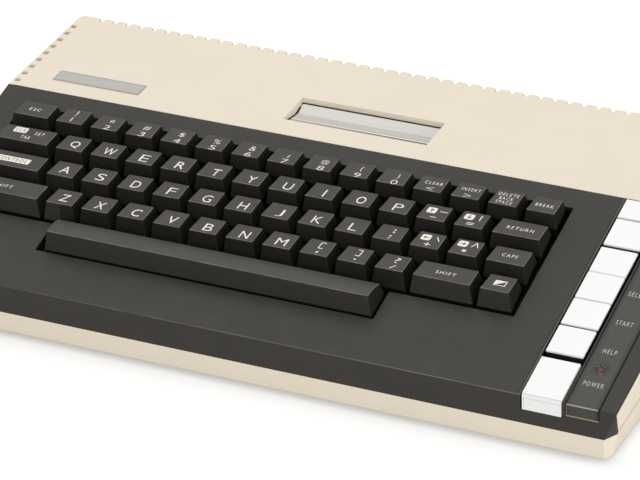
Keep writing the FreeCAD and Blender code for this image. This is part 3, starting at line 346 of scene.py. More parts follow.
def lined_metal(name, dark, pale, roughness, lines=900.0, depth=0.000012, metallic=1.0):
    material, tree, shader = blank_material(name, roughness, metallic)
    lined = use_group(tree, METAL_LINES, Line_Scale=lines)
    tree.links.new(blend_colour(tree, lined.outputs["Tone"], dark, pale), shader.inputs["Base Color"])
    rough = spread(tree, lined.outputs["Tone"], 0.0, 1.0, roughness + 0.06, roughness - 0.06)
    tree.links.new(rough, shader.inputs["Roughness"])
    bump(tree, shader, lined.outputs["Height"], depth)
    return material


def on_deck_view(tree):
    """Run along the dark deck from its front edge, and height over it, in millimetres."""
    return side_view(tree, DECK_EDGE, DECK_SLOPE)


def white_plastic(name):
    return moulded_plastic(name, (0.885, 0.88, 0.87), (0.925, 0.92, 0.915), (0.95, 0.95, 0.95), 0.38,
                           depth=0.000012, dust=0.04, dust_colour=(0.7, 0.69, 0.66), rub_and_highlight=0.5)


def plated_cap(name):
    """A white plate over the dark carrier of a console key: the colours part below the plate."""
    material = white_plastic(name)
    tree = material.node_tree
    paint(material, spread(tree, on_deck_view(tree)[1], -0.2, -0.3), (0.020, 0.019, 0.017))
    return material


def trim_piece(name):
    """White trim with fine grey lines along its bend and beside its left edge."""
    material = white_plastic(name)
    tree = material.node_tree
    grey, pale_grey = (0.52, 0.51, 0.50), (0.60, 0.59, 0.58)
    run, rise = on_deck_view(tree)
    paint(material, both(tree, band(tree, run, 0.35, 0.6), spread(tree, rise, 0.2, 0.4)), grey)
    forward = spread(tree, coordinate(tree, "Y"), -0.10570, -0.10590)
    z = coordinate(tree, "Z")
    bend = band(tree, z, 0.02605, 0.02625, 0.0001)
    paint(material, both(tree, forward, bend), grey)
    left = band(tree, coordinate(tree, "X"), 0.1430, 0.1432, 0.0001)
    below_bend = spread(tree, z, 0.0265, 0.0260)
    paint(material, both(tree, forward, left, below_bend), pale_grey)
    return material


def key_plastic(name):
    """Key caps: pale tops, painted shade on the sides, painted light on fronts that no row shades, a painted
    highlight along the top's edges and painted shade in the well.
    """
    material = moulded_plastic(name, (0.042, 0.0385, 0.033), (0.053, 0.049, 0.042), (0.17, 0.16, 0.14),
                               0.50, grain=3000.0, depth=0.00002, dust=0.08, dust_colour=(0.22, 0.20, 0.17),
                               width=0.0004, rub_and_highlight=0.6)
    tree = material.node_tree
    shader = tree.nodes["Principled BSDF"]
    # Painted shade: the side and front faces darker, as the close rows of keys shade them.
    up = facing(tree)
    flank = spread(tree, up, 0.62, 0.46, 0.0, 0.88)
    paint(material, flank, (0.0170, 0.0152, 0.0130))
    # Painted light: fronts that no row in front shades, beside and along the space bar, are lighter.
    x, y = coordinate(tree, "X"), coordinate(tree, "Y")
    left_of_bar, right_of_bar = spread(tree, x, -0.1130, -0.1140), spread(tree, x, 0.0670, 0.0680)
    beside_bar = maths(tree, "MAXIMUM", left_of_bar, right_of_bar)
    beside_bar = both(tree, beside_bar, spread(tree, y, -0.0560, -0.0580))
    on_bar = spread(tree, y, -0.0650, -0.0660)
    open_front = maths(tree, "MAXIMUM", beside_bar, on_bar)
    paint(material, both(tree, flank, open_front), (0.0410, 0.0375, 0.0335))
    # Painted shade on the faces turned to the right.
    right_side = both(tree, flank, spread(tree, facing(tree, "X"), 0.4, 0.7))
    paint(material, right_side, (0.0175, 0.016, 0.0132))
    # Painted highlight along the rounded edges between top and sides, broken up in patches.
    patches = spread(tree, noise(tree, object_place(tree), 210.0, 3.0), 0.35, 0.65, 0.35, 1.0)
    rims = both(tree, band(tree, up, 0.46, 0.90, 0.04), patches)
    paint(material, rims, (0.20, 0.19, 0.165))
    # Painted shade on the parts below the deck, down in the well.
    in_well = spread(tree, on_deck_view(tree)[1], 0.55, 0.15)
    paint(material, in_well, (0.0022, 0.0020, 0.0018))
    tree.links.new(spread(tree, up, 0.46, 0.62, 0.12, 0.40), shader.inputs["Specular IOR Level"])
    return material


COLUMN_GROOVES = ((0.1400, 0.1405), (0.1622, 0.1635), (0.1785, 0.1793))
GROOVE_SHADE = (0.006, 0.0055, 0.005)


def bezel_plastic(name):
    """Dark bezel: a painted highlight along its front edge and beside the console column, and painted shade
    in fine grooves beside the column and strip and on its sunk faces.
    """
    material = moulded_plastic(name, (0.033, 0.0295, 0.0245), (0.040, 0.036, 0.030), (0.20, 0.19, 0.17),
                               0.58, grain=2400.0, depth=0.00004, dust=0.08, dust_colour=(0.20, 0.19, 0.16),
                               rub_and_highlight=0.12, specular=0.34)
    tree = material.node_tree
    x = coordinate(tree, "X")
    run, rise = on_deck_view(tree)
    on_top = spread(tree, rise, -0.5, -0.3)
    # Painted highlight along the bezel's edge beside the console column.
    column_rim = band(tree, x, 0.14065, 0.14135, 0.0001)
    paint(material, both(tree, column_rim, on_top), (0.085, 0.081, 0.072))
    # Painted shade in the fine grooves beside the column and strip.
    for low, high in COLUMN_GROOVES:
        paint(material, both(tree, band(tree, x, low, high, 0.0001), on_top), GROOVE_SHADE)
    # Painted shade on the sunk faces below the deck, 3 mm and more behind the front edge.
    sunk = both(tree, spread(tree, rise, -0.5, -1.1), spread(tree, run, 3.0, 4.0))
    paint(material, sunk, GROOVE_SHADE)
    # Painted highlight along the front edge left of the column, brighter to the right and broken in patches.
    left = both(tree, spread(tree, x, 0.1424, 0.1410), spread(tree, x, -0.15, 0.12, 0.3, 1.0))
    patches = spread(tree, noise(tree, object_place(tree), 60.0, 3.0), 0.35, 0.6, 0.6, 1.0)
    front_edge = near_line(tree, (-105.8, 27.38), 0.2)
    paint(material, both(tree, front_edge, left, patches), (0.19, 0.185, 0.165))
    return material


def strip_plastic(name):
    """Smoked label strip: dark margins, a painted highlight along its front edge, and tan light along its
    foot.
    """
    material = moulded_plastic(name, (0.050, 0.049, 0.037), (0.058, 0.057, 0.044), (0.30, 0.28, 0.24),
                               0.46, depth=0.000012, dust=0.08, dust_colour=(0.3, 0.29, 0.26),
                               width=0.0004, rub_and_highlight=0.4, specular=0.3)
    tree = material.node_tree
    x, y, z = (coordinate(tree, axis) for axis in "XYZ")
    margin_shade = (0.014, 0.013, 0.011)
    paint(material, spread(tree, x, 0.1766, 0.1776, 0.0, 0.6), margin_shade)
    paint(material, spread(tree, x, 0.1652, 0.1636, 0.0, 0.7), margin_shade)
    right_end = spread(tree, x, 0.17815, 0.1784)
    paint(material, right_end, (0.004, 0.004, 0.0035))
    # Painted highlight along the front edge.
    front_edge = near_line(tree, (-105.8, 27.4), 0.3)
    paint(material, both(tree, front_edge, spread(tree, x, 0.1783, 0.1781)), (0.34, 0.33, 0.30))
    forward = spread(tree, y, -0.1055, -0.1058)
    left_end, foot = spread(tree, x, 0.1638, 0.1635), spread(tree, z, 0.0221, 0.0219)
    paint(material, both(tree, forward, left_end), (0.16, 0.125, 0.085))
    paint(material, both(tree, forward, foot), (0.40, 0.31, 0.20))
    return material


WELL_RUN = (12.0, 37.5)
WELL_X = (-0.0470, 0.0392)
DOORS_MEET = 27.5


def case_plastic(name):
    """Beige case: a fine dark joint along its sides, painted shade along its foot and on the rib ends, and
    painted shade in the cartridge well.
    """
    material = moulded_plastic(name, (0.835, 0.745, 0.598), (0.852, 0.764, 0.619), (0.91, 0.84, 0.71),
                               0.52, grain=2200.0, depth=0.000035, dust=0.05, dust_colour=(0.66, 0.58, 0.46),
                               width=0.0007, rub_and_highlight=0.5)
    tree = material.node_tree
    x, y, z = (coordinate(tree, axis) for axis in "XYZ")
    joint = band(tree, side_view(tree, CASE_JOINT, CASE_JOINT_SLOPE)[1], -0.3, 0.12)
    paint(material, joint, (0.30, 0.25, 0.19))
    # Painted shade along the bottom edge.
    foot = spread(tree, z, 0.0036, 0.0031)
    paint(material, foot, (0.70, 0.625, 0.51))
    # Painted shade on the rear slot walls that face right.
    turned_right = spread(tree, facing(tree, "X"), 0.35, 0.65)
    at_rear, within_end = spread(tree, y, 0.098, 0.099), spread(tree, x, 0.1835, 0.1830)
    paint(material, both(tree, turned_right, at_rear, within_end), (0.40, 0.35, 0.27))
    # Painted shade deep in the cartridge well, below the closed doors.
    run, rise = side_view(tree, REAR_DECK_FOOT, REAR_SLOPE)
    from_middle = maths(tree, "ABSOLUTE", maths(tree, "SUBTRACT", run, DOORS_MEET))
    dip = maths(tree, "SUBTRACT", maths(tree, "MULTIPLY", from_middle, 0.18), 4.45)
    below = spread(tree, maths(tree, "SUBTRACT", rise, dip), 0.15, -0.15)
    inside = both(tree, band(tree, run, *WELL_RUN), band(tree, x, *WELL_X, 0.0002))
    paint(material, both(tree, below, inside), (0.030, 0.022, 0.015))
    return material


DOOR_BEAD_HIGHLIGHT_AND_SHADE = (
    (18.5, 20.0, (0.11, 0.085, 0.06)),
    (20.0, 21.4, (0.96, 0.95, 0.93)),
    (21.4, 21.9, (0.24, 0.22, 0.19)),
)


def door_leaf(name):
    """Pale door leaf, with a painted highlight between two lines of painted shade along its near edge, and
    painted light on the far leaf.
    """
    material = lined_metal(name, (0.55, 0.53, 0.485), (0.65, 0.63, 0.58), 0.55, lines=500.0, metallic=0.15)
    tree = material.node_tree
    run = side_view(tree, REAR_DECK_FOOT, REAR_SLOPE)[0]
    # Painted highlight between two lines of painted shade along the near edge, fainter to the left.
    fade = spread(tree, coordinate(tree, "X"), -0.035, 0.020, 0.35, 0.95)
    for low, high, colour in DOOR_BEAD_HIGHLIGHT_AND_SHADE:
        paint(material, both(tree, band(tree, run, low, high), fade), colour)
    # Painted light: the far leaf lighter, as it tilts towards the overhead lamp.
    far_leaf = spread(tree, run, 27.8, 28.2, 0.0, 0.5)
    paint(material, far_leaf, (0.67, 0.655, 0.615))
    return material


def printed_ink(name, colour, worn, roughness=0.55):
    """Pad-printed ink, a little thin in places."""
    material, tree, shader = blank_material(name, roughness)
    thin = spread(tree, noise(tree, object_place(tree), 1400.0, 3.0), 0.35, 0.6)
    tree.links.new(blend_colour(tree, thin, worn, colour), shader.inputs["Base Color"])
    return material


BEIGE = case_plastic("beige_case")
DARK = bezel_plastic("dark_bezel")
KEY = key_plastic("key_cap")
WHITE = trim_piece("white_trim")
SMOKED = strip_plastic("smoked_strip")
BLACK = moulded_plastic("black_moulding", (0.016, 0.016, 0.016), (0.026, 0.026, 0.025), (0.07, 0.07, 0.068),
                        0.5, dust=0.08, dust_colour=(0.2, 0.2, 0.18), rub_and_highlight=0.5)
RUBBER = moulded_plastic("foot_rubber", (0.020, 0.020, 0.020), (0.035, 0.034, 0.033), (0.06, 0.06, 0.058),
                         0.82, grain=1400.0, depth=0.00006, dust=0.0, rub_and_highlight=0.4, specular=0.3)
BOARD = moulded_plastic("board_laminate", (0.018, 0.11, 0.045), (0.03, 0.16, 0.07), (0.10, 0.22, 0.13),
                        0.42, grain=1500.0, depth=0.00002, dust=0.25, dust_colour=(0.3, 0.31, 0.26))
CHIP = moulded_plastic("chip_package", (0.016, 0.016, 0.018), (0.026, 0.026, 0.028), (0.07, 0.07, 0.07),
                       0.6, grain=3200.0, dust=0.25, dust_colour=(0.25, 0.25, 0.22))
LAMP = moulded_plastic("lamp_lens", (0.16, 0.012, 0.012), (0.24, 0.02, 0.02), (0.35, 0.06, 0.05),
                       0.22, depth=0.000004, dust=0.0)
DOOR = door_leaf("door_metal")
BADGE = lined_metal("badge_metal", (0.52, 0.505, 0.465), (0.62, 0.605, 0.565), 0.44, lines=1500.0)
SHEET = lined_metal("sheet_steel", (0.50, 0.50, 0.49), (0.66, 0.66, 0.65), 0.38, lines=500.0)
STEEL = lined_metal("plain_steel", (0.42, 0.42, 0.41), (0.56, 0.56, 0.55), 0.34, lines=1800.0)
JACK = lined_metal("plated_shell", (0.66, 0.65, 0.62), (0.78, 0.77, 0.74), 0.22, lines=2400.0)
INK = printed_ink("legend_ink", (0.92, 0.89, 0.80), (0.82, 0.79, 0.71))
STRIP_INK = printed_ink("strip_ink", (0.78, 0.76, 0.69), (0.66, 0.64, 0.58))
DARK_INK = printed_ink("dark_ink", (0.05, 0.048, 0.04), (0.09, 0.085, 0.07))
GREY_INK = printed_ink("grey_ink", (0.22, 0.21, 0.19), (0.34, 0.33, 0.30))
RED_SPECK = printed_ink("red_speck", (0.21, 0.055, 0.060), (0.10, 0.035, 0.035))
PALE_SPECK = printed_ink("pale_speck", (0.19, 0.16, 0.15), (0.12, 0.10, 0.09))

FINISHES = {
    "beige_plastic": BEIGE,
    "dark_plastic": DARK,
    "key_plastic": KEY,
    "white_plastic": WHITE,
    "smoked_plastic": SMOKED,
    "badge_metal": BADGE,
    "door_metal": DOOR,
    "black_plastic": BLACK,
    "jack_metal": JACK,
    "foot_rubber": RUBBER,
    "board_laminate": BOARD,
    "chip_plastic": CHIP,
    "sheet_steel": SHEET,
    "spring_steel": STEEL,
    "lamp_plastic": LAMP,
}
PLATED = plated_cap("console_cap")


def dress_solids():
    """Gives each solid the finish of its slot. Console keys are white over a dark carrier."""
    for part in frame["record"]["subparts"]:
        mesh = nodes[part["node"]].data
        mesh.materials.clear()
        two_tone = part["node"].startswith("console_") and part["node"].endswith("_key")
        mesh.materials.append(PLATED if two_tone else FINISHES[part["material_slot"]])


dress_solids()


# Places on the machine. Each gives the matrix from a small flat drawing in millimetres, with
# its third axis out of the surface, to the machine's frame in metres.

TOP_MIDDLE = 6.25
TOP_DROP = 1.05


def on_slope(line, slope, x, along, rise=0.0, fall=0.0):
    """A place so far along a slope and over it, from a line along X, turned back by the fall."""
    y = line[0] + along * math.cos(slope) - rise * math.sin(slope)
    z = line[1] + along * math.sin(slope) + rise * math.cos(slope)
    turn = Matrix.Rotation(slope - fall, 4, "X")
    return Matrix.Scale(MM, 4) @ Matrix.Translation((x, y, z)) @ turn


def on_deck(x, along):
    return on_slope(DECK_EDGE, DECK_SLOPE, x, along)


def on_rear_deck(x, along, rise=0.0):
    return on_slope(REAR_DECK_FOOT, REAR_SLOPE, x, along, rise)


def on_key_top(x, row):
    """The middle of a cap's sloping top, in the typing row that is given."""
    along = -UNIT * (row - 1.5) + TOP_MIDDLE
    return on_slope(KEY_FIELD_MIDDLE, KEY_SLOPE, x, along, -TOP_DROP, KEY_FALL)


# Printed shapes

FILM = 0.03
CAPITAL_SHARE = 0.729


def ring(place, radius, steps):
    turns = [math.tau * step / steps for step in range(steps)]
    return [(place[0] + radius * math.cos(turn), place[1] + radius * math.sin(turn)) for turn in turns]


class Print:
    """Collects thin printed shapes for one body and makes one mesh of them."""

    def __init__(self):
        self.mesh = bmesh.new()

    def add_mesh(self, mesh, matrix, ink):
        start = len(self.mesh.faces)
        self.mesh.from_mesh(mesh)
        self.mesh.faces.ensure_lookup_table()
        fresh = self.mesh.faces[start:]
        moved = {corner for face in fresh for corner in face.verts}
        for face in fresh:
            face.material_index = ink
        bmesh.ops.transform(self.mesh, matrix=matrix, verts=list(moved))

    def word(self, text, matrix, place, height, width=None, gap=1.0, thin=0.0, lift=0.0, ink=0):
        """Plain lettering, fitted to a box of the height and width given about its place."""
        curve = bpy.data.curves.new("word", "FONT")
        curve.body = text
        curve.size = height / CAPITAL_SHARE
        curve.space_character = gap
        curve.offset = -thin
        curve.extrude = FILM / 2
        curve.resolution_u = 5
        holder = bpy.data.objects.new("word", curve)
        mesh = bpy.data.meshes.new_from_object(holder)
        bpy.data.objects.remove(holder)
        bpy.data.curves.remove(curve)
        xs, ys = [vertex.co.x for vertex in mesh.vertices], [vertex.co.y for vertex in mesh.vertices]
        along, up = max(xs) - min(xs), max(ys) - min(ys)
        scale = Matrix.Diagonal((width / along if width else 1, height / up, 1, 1))
        middle = Matrix.Translation((-(max(xs) + min(xs)) / 2, -(max(ys) + min(ys)) / 2, 0))
        local = Matrix.Translation((*place, lift + FILM / 2)) @ scale @ middle
        self.add_mesh(mesh, matrix @ local, ink)
        bpy.data.meshes.remove(mesh)

    def shape(self, outline, matrix, lift=0.0, ink=0):
        """A filled outline with the film's thickness."""
        low = [self.mesh.verts.new(matrix @ Vector((x, y, lift))) for x, y in outline]
        high = [self.mesh.verts.new(matrix @ Vector((x, y, lift + FILM))) for x, y in outline]
        faces = [self.mesh.faces.new(high), self.mesh.faces.new(low[::-1])]
        for i, corner in enumerate(low):
            j = (i + 1) % len(low)
            faces.append(self.mesh.faces.new((corner, low[j], high[j], high[i])))
        for face in faces:
            face.material_index = ink

    def dot(self, place, radius, matrix, lift=0.0, ink=0):
        self.shape(ring(place, radius, 12), matrix, lift, ink)

    def line(self, start, end, width, matrix, lift=0.0, ink=0):
        run = Vector((end[0] - start[0], end[1] - start[1]))
        side = Vector((-run.y, run.x)).normalized() * (width / 2)
        a, b = Vector(start), Vector(end)
        self.shape([a + side, a - side, b - side, b + side][::-1], matrix, lift, ink)

    def label_box(self, place, width, height, corner, matrix, lift=0.0, ink=0):
        outline = []
        for cx, cy, turn in ((1, -1, -90), (1, 1, 0), (-1, 1, 90), (-1, -1, 180)):
            for step in range(5):
                angle = math.radians(turn + step * 22.5)
                x = place[0] + cx * (width / 2 - corner) + corner * math.cos(angle)
                y = place[1] + cy * (height / 2 - corner) + corner * math.sin(angle)
                outline.append((x, y))
        self.shape(outline, matrix, lift, ink)

    def finish(self, name, body, slot, *inks):
        data = bpy.data.meshes.new(name)
        bmesh.ops.recalc_face_normals(self.mesh, faces=self.mesh.faces)
        self.mesh.to_mesh(data)
        self.mesh.free()
        for ink in inks:
            data.materials.append(ink)
        piece = bpy.data.objects.new(name, data)
        bpy.context.scene.collection.objects.link(piece)
        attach(piece, body)
        return piece


# Key legends. Rows count from the rear; a row starts at its first typing column.

LETTER = 6.1
LETTER_PLACE = (1.1, -1.3)
LETTER_WIDTH = 4.55
SMALL_HEIGHT = 2.5
WIDE_GAP = 1.35
PEN = 0.5
FINE_PEN = 0.30
OWN_THINS = {"E": 0.09, "F": 0.12, "J": 0.17, "P": 0.085, "L": 0.10, "H": 0.05, "S": 0.045, "Z": 0.045,
             "B": 0.06, "K": 0.05, "U": 0.04, "T": 0.045, "G": 0.035, "D": 0.03, "M": 0.03, "N": 0.02}
OWN_SHIFTS = {"Q": (0, 0.2), "R": (0.3, -0.2), "T": (0.4, -0.5), "Y": (0.35, -0.7), "U": (0.3, -0.45),
              "I": (0.3, -0.35), "O": (0.1, -0.25), "P": (0, -0.3), "A": (-0.45, 0.75), "S": (-0.1, 0.35),
              "F": (0, 0.15), "G": (0, -0.3), "H": (-0.1, -0.35), "J": (-0.1, -0.25), "L": (-0.3, -0.1),
              "Z": (-0.5, 0.5), "X": (-0.3, 0.1), "B": (0.1, -0.25), "N": (0, -0.4), "M": (-0.1, -0.2)}
OWN_WIDTHS = {"W": 6.1, "M": 5.4, "A": 5.0, "Q": 4.9, "I": 0.75, "J": 3.6, "T": 4.2, "Y": 4.2, "L": 4.2,
              "F": 4.2}
COLUMN_LEADS = (1.25, 1.75, 2.0, 2.5)
DIGIT_ROW = (("1", "!"), ("2", ""), ("3", "#"), ("4", "$"), ("5", "%"), ("6", "&"), ("7", ""),
             ("8", "@"), ("9", "("), ("0", ")"))
SIGN_WIDTHS = {"#": 3.5, "$": 2.9, "%": 3.7, "&": 3.3, "@": 3.9, "(": 1.0, ")": 1.0}
LETTER_ROWS = ("QWERTYUIOP", "ASDFGHJKL", "ZXCVBNM")


def cap_middle(row, lead, width=1.0):
    return on_key_top(FIELD_LEFT + (lead + width / 2) * UNIT, row)


def print_digit(sheet, top, column):
    """A digit with its sign behind it."""
    digit, sign = DIGIT_ROW[column]
    if column == 0:
        sheet.line((0.1, -5.1), (0.1, -1.2), PEN, top)
        sheet.line((0.2, 1.9), (0.2, 5.1), PEN, top)
        sheet.dot((0.2, 0.7), 0.35, top)
        return
    x = 1.1 + 0.07 * (column - 1)
    sheet.word(digit, top, (x, -4.25 - 0.05 * column), 3.9, 3.3, thin=0.06)
    if digit == "2":
        for side in (-0.65, 0.65):
            sheet.line((x + side, 0.5), (x + side, 3.0), PEN, top)
    elif digit == "7":
        sheet.line((x, -1.1), (x + 0.5, 1.5), PEN, top)
    else:
        height = 4.0 if sign in "#$%&@" else 4.9
        sheet.word(sign, top, (x, 1.5 - 0.07 * column), height, SIGN_WIDTHS[sign], thin=0.05)


def print_points(sheet, top, row, column):
    """The keys with two points or brackets."""
    if (row, column) == (2, 9):
        for y in (0.7, 2.7):
            sheet.dot((1.2, y), 0.55, top)
        sheet.dot((1.0, -2.7), 0.55, top)
        sheet.line((1.2, -4.1), (0.7, -5.2), PEN, top)
        return
    if (row, column) == (3, 9):
        sheet.word("?", top, (1.2, 1.9), 4.4, 2.5, thin=0.08)
        sheet.line((0.0, -5.2), (2.2, -2.4), PEN, top)
        return
    hand = 1 if column == 7 else -1
    tip, spine = 1.0 + 1.3 * hand, 1.0 - 0.9 * hand
    ends = [(tip, 4.3), (spine, 4.3), (spine, -0.6), (tip, -0.6)]
    for i in range(3):
        sheet.line(ends[i], ends[i + 1], PEN, top, FILM * i / 6)
    sheet.dot((1.1, -3.8), 0.55, top)
    if column == 7:
        sheet.line((1.1, -4.1), (0.7, -5.1), PEN, top, FILM / 6)


def print_columns():
    for column in range(10):
        sheet = Print()
        print_digit(sheet, cap_middle(0, COLUMN_LEADS[0] + column), column)
        for row, letters in enumerate(LETTER_ROWS, 1):
            top = cap_middle(row, COLUMN_LEADS[row] + column)
            if column < len(letters):
                letter = letters[column]
                place = Vector(LETTER_PLACE) + Vector(OWN_SHIFTS.get(letter, (0, 0)))
                width, thin = OWN_WIDTHS.get(letter, LETTER_WIDTH), OWN_THINS.get(letter, 0.0)
                sheet.word(letter, top, place, LETTER, width, thin=thin)
            else:
                print_points(sheet, top, row, column)
        name = "column_%02d" % (column + 1)
        sheet.finish(name + "_legends", name + "_keys", "key_plastic", INK)


def small_word(sheet, top, text, place, width, height=SMALL_HEIGHT, ink=0, lift=0.0):
    sheet.word(text, top, place, height, width, gap=WIDE_GAP, thin=0.012, lift=lift, ink=ink)


def print_word_keys():
    words = {
        "escape_key": (0, 0.0, 1.25, (("ESC", 0.0, -0.5, 6.2),)),
        "insert_key": (0, 12.25, 1.0, (("INSERT", 0.7, 1.0, 9.4),)),
        "clear_key": (0, 11.25, 1.0, (("CLEAR", 0.9, 0.7, 8.9),)),
        "delete_key": (0, 13.25, 1.0, (("DELETE", 0.0, 2.7, 10.2), ("BACK", 0.1, -0.8, 6.9),
                                        ("SPACE", 0.1, -4.1, 8.0))),
        "break_key": (0, 14.25, 1.0, (("BREAK", 0.1, -0.6, 8.9),)),
        "return_key": (1, 13.75, 1.5, (("RETURN", 0.2, -0.3, 13.3),)),
        "caps_key": (2, 14.0, 1.25, (("CAPS", 0.1, -0.1, 7.6),)),
        "left_shift_key": (3, 0.0, 2.5, (("SHIFT", 0.1, -0.3, 9.8),)),
        "right_shift_key": (3, 12.5, 1.75, (("SHIFT", 0.2, -0.7, 9.8),)),
    }
    for key, (row, lead, width, lines) in words.items():
        sheet = Print()
        top = cap_middle(row, lead, width)
        for text, x, y, run in lines:
            small_word(sheet, top, text, (x, y), run)
        if key in ("clear_key", "insert_key"):
            hand = 1 if key == "clear_key" else -1
            tip, near, far = (0.8 - 1.8 * hand, -4.4), (0.8 + 1.8 * hand, -3.2), (0.8 + 1.8 * hand, -5.6)
            sheet.line(tip, near, FINE_PEN, top)
            sheet.line(tip, far, FINE_PEN, top, FILM / 3)
        sheet.finish(key.replace("_key", "_legend"), key, "key_plastic", INK)


def print_boxed_keys():
    """Tab and control, with dark words on a white box."""
    sheet = Print()
    top = cap_middle(1, 0.0, 1.75)
    sheet.label_box((-4.75, 2.85), 7.2, 4.7, 0.9, top)
    small_word(sheet, top, "CLR", (-4.75, 2.85), 5.2, ink=1, lift=FILM)
    small_word(sheet, top, "SET", (6.1, 2.1), 5.0, 2.7)
    small_word(sheet, top, "TAB", (0.55, -2.8), 5.0, 2.7)
    sheet.finish("tab_legend", "tab_key", "key_plastic", INK, DARK_INK)

    sheet = Print()
    top = cap_middle(2, 0.0, 2.0)
    sheet.label_box((-0.4, -0.3), 19.4, 4.6, 0.5, top)
    small_word(sheet, top, "CONTROL", (-0.4, -0.3), 16.4, 2.8, ink=1, lift=FILM)
    sheet.finish("control_legend", "control_key", "key_plastic", INK, DARK_INK)


def arrow_box(sheet, top, middle, way):
    """A white box with a dark arrow on it."""
    sheet.label_box(middle, 4.7, 4.8, 1.0, top)
    neck = middle + way * 0.1
    side = Vector((-way.y, way.x)) * 1.05
    sheet.line(middle - way * 1.5, middle + way * 0.4, 0.45, top, FILM, 1)
    sheet.shape([middle + way * 1.5, neck + side, neck - side], top, FILM, 1)


def print_arrow_keys():
    """The four keys with a cursor arrow in a white box, and their signs."""
    across, up = Vector((1, 0)), Vector((0, 1))
    arrows = {"minus_key": (1, 11.75, up, (-2.0, 1.4)), "equals_key": (1, 12.75, -up, (-2.3, 1.8)),
              "plus_key": (2, 12.0, -across, (-1.9, 1.8)), "asterisk_key": (2, 13.0, across, (-2.7, 2.4))}
    for key, (row, lead, way, place) in arrows.items():
        sheet = Print()
        top = cap_middle(row, lead)
        arrow_box(sheet, top, Vector(place), way)
        if key == "minus_key":
            sheet.line((1.9, 1.5), (5.8, 1.5), PEN, top)
            sheet.line((-0.8, -4.1), (2.2, -4.1), PEN, top)
        elif key == "equals_key":
            sheet.line((3.2, -0.1), (3.2, 4.4), PEN, top)
            sheet.line((-1.6, -3.1), (1.9, -3.1), PEN, top)
            sheet.line((-1.6, -4.4), (1.9, -4.4), PEN, top)
        elif key == "plus_key":
            sheet.line((2.9, 3.6), (5.1, 0.2), PEN, top)
            sheet.line((-0.9, -3.7), (2.3, -3.7), PEN, top)
            sheet.line((0.7, -5.2), (0.7, -2.2), PEN, top, FILM / 3)
        else:
            sheet.line((1.8, 0.9), (3.4, 5.0), PEN, top)
            sheet.line((3.4, 5.0), (5.0, 0.9), PEN, top, FILM / 3)
            for i in range(3):
                turn = math.radians(60 * i)
                ray = Vector((math.cos(turn), math.sin(turn))) * 1.2
                centre = Vector((-0.1, -3.1))
                sheet.line(centre - ray, centre + ray, PEN, top, FILM * i / 6)
        sheet.finish(key.replace("_key", "_legend"), key, "key_plastic", INK, DARK_INK)


def print_inverse_key():
    """A framed box, filled on one side of its diagonal."""
    sheet = Print()
    top = cap_middle(3, 14.25)
    left, right, low, high, rim = -2.3, 3.5, -2.1, 2.1, 0.45
    sheet.shape([(left, low), (right, high), (left, high)], top)
    sheet.shape([(left, low), (right, low), (right, low + rim), (left, low + rim)], top, FILM / 2)
    sheet.shape([(right - rim, low), (right, low), (right, high), (right - rim, high)], top, FILM / 3)
    sheet.finish("inverse_legend", "inverse_key", "key_plastic", INK)


print_columns()
print_word_keys()
print_boxed_keys()
print_arrow_keys()
print_inverse_key()


# Label strip, lamp window and badge outline

STRIP_LETTER = 2.8
LAMP_PLACE = (170.7, 25.1)
LAMP_SHADE = 4.4


def print_strip():
    """The words beside the lamp and the console keys."""
    sheet = Print()
    labels = (("POWER", 170.6, 14.8, 9.5), ("HELP", 170.4, 36.3, 6.4), ("START", 170.3, 55.3, 7.9),
              ("SELECT", 170.3, 74.4, 10.0), ("OPTION", 170.3, 92.2, 10.2), ("RESET", 170.3, 111.4, 8.2))
    for text, x, along, width in labels:
        sheet.word(text, on_deck(x, along), (0.0, 0.0), STRIP_LETTER, width, gap=WIDE_GAP, thin=0.055)
    sheet.finish("strip_labels", "case", "smoked_plastic", STRIP_INK)


def lamp_shade():
    """The strip's own colour, falling to a dark round shade over the lamp."""
    material = moulded_plastic("lamp_shade", (0.019, 0.018, 0.015), (0.027, 0.026, 0.021),
                               (0.03, 0.03, 0.02), 0.46, depth=0.000012, dust=0.08,
                               dust_colour=(0.3, 0.29, 0.26), rub_and_highlight=0.0, specular=0.3)
    tree = material.node_tree
    across = maths(tree, "SUBTRACT", maths(tree, "MULTIPLY", coordinate(tree, "X"), 1 / MM), LAMP_PLACE[0])
    along = maths(tree, "SUBTRACT", on_deck_view(tree)[0], LAMP_PLACE[1])
    blur = spread(tree, noise(tree, object_place(tree), 400.0, 2.0), 0.3, 0.7, -0.7, 0.7)
    far = maths(tree, "ADD", distance(tree, across, along), blur)
    paint(material, spread(tree, far, LAMP_SHADE - 1.5, LAMP_SHADE - 0.5), (0.054, 0.053, 0.040))
    return material


def lamp_window():
    """A dark disc over the lamp, with a faint red glint and pale specks."""
    sheet = Print()
    top = on_deck(*LAMP_PLACE)
    sheet.shape(ring((0.0, 0.0), LAMP_SHADE, 48), top)
    sheet.dot((-0.6, -0.6), 0.75, top, FILM, 1)
    sheet.dot((0.0, -0.1), 0.45, top, FILM * 2, 1)
    sheet.line((-0.9, -2.7), (1.3, -3.0), 0.9, top, FILM, 1)
    sheet.dot((-2.1, 1.2), 0.4, top, FILM, 2)
    sheet.dot((-0.2, 2.4), 0.35, top, FILM, 2)
    sheet.dot((1.3, 1.4), 0.3, top, FILM, 2)
    sheet.finish("lamp_window", "case", "lamp_plastic", lamp_shade(), RED_SPECK, PALE_SPECK)


def badge_outline():
    """A thin printed frame on the bare badge plate."""
    sheet = Print()
    top = on_rear_deck(-144.1, 15.8, 0.3)
    half_x, half_y, rim = 23.5, 4.3, 0.24
    for side in (-1, 1):
        sheet.line((-half_x, side * half_y), (half_x, side * half_y), rim, top)
        sheet.line((side * half_x, -half_y), (side * half_x, half_y), rim, top, FILM / 3)
    sheet.finish("badge_outline", "case", "badge_metal", GREY_INK)


print_strip()
lamp_window()
badge_outline()


# Table, lamps and surroundings

ROOM_LIGHT = 0.52
FLOOR_GLOW = 0.34


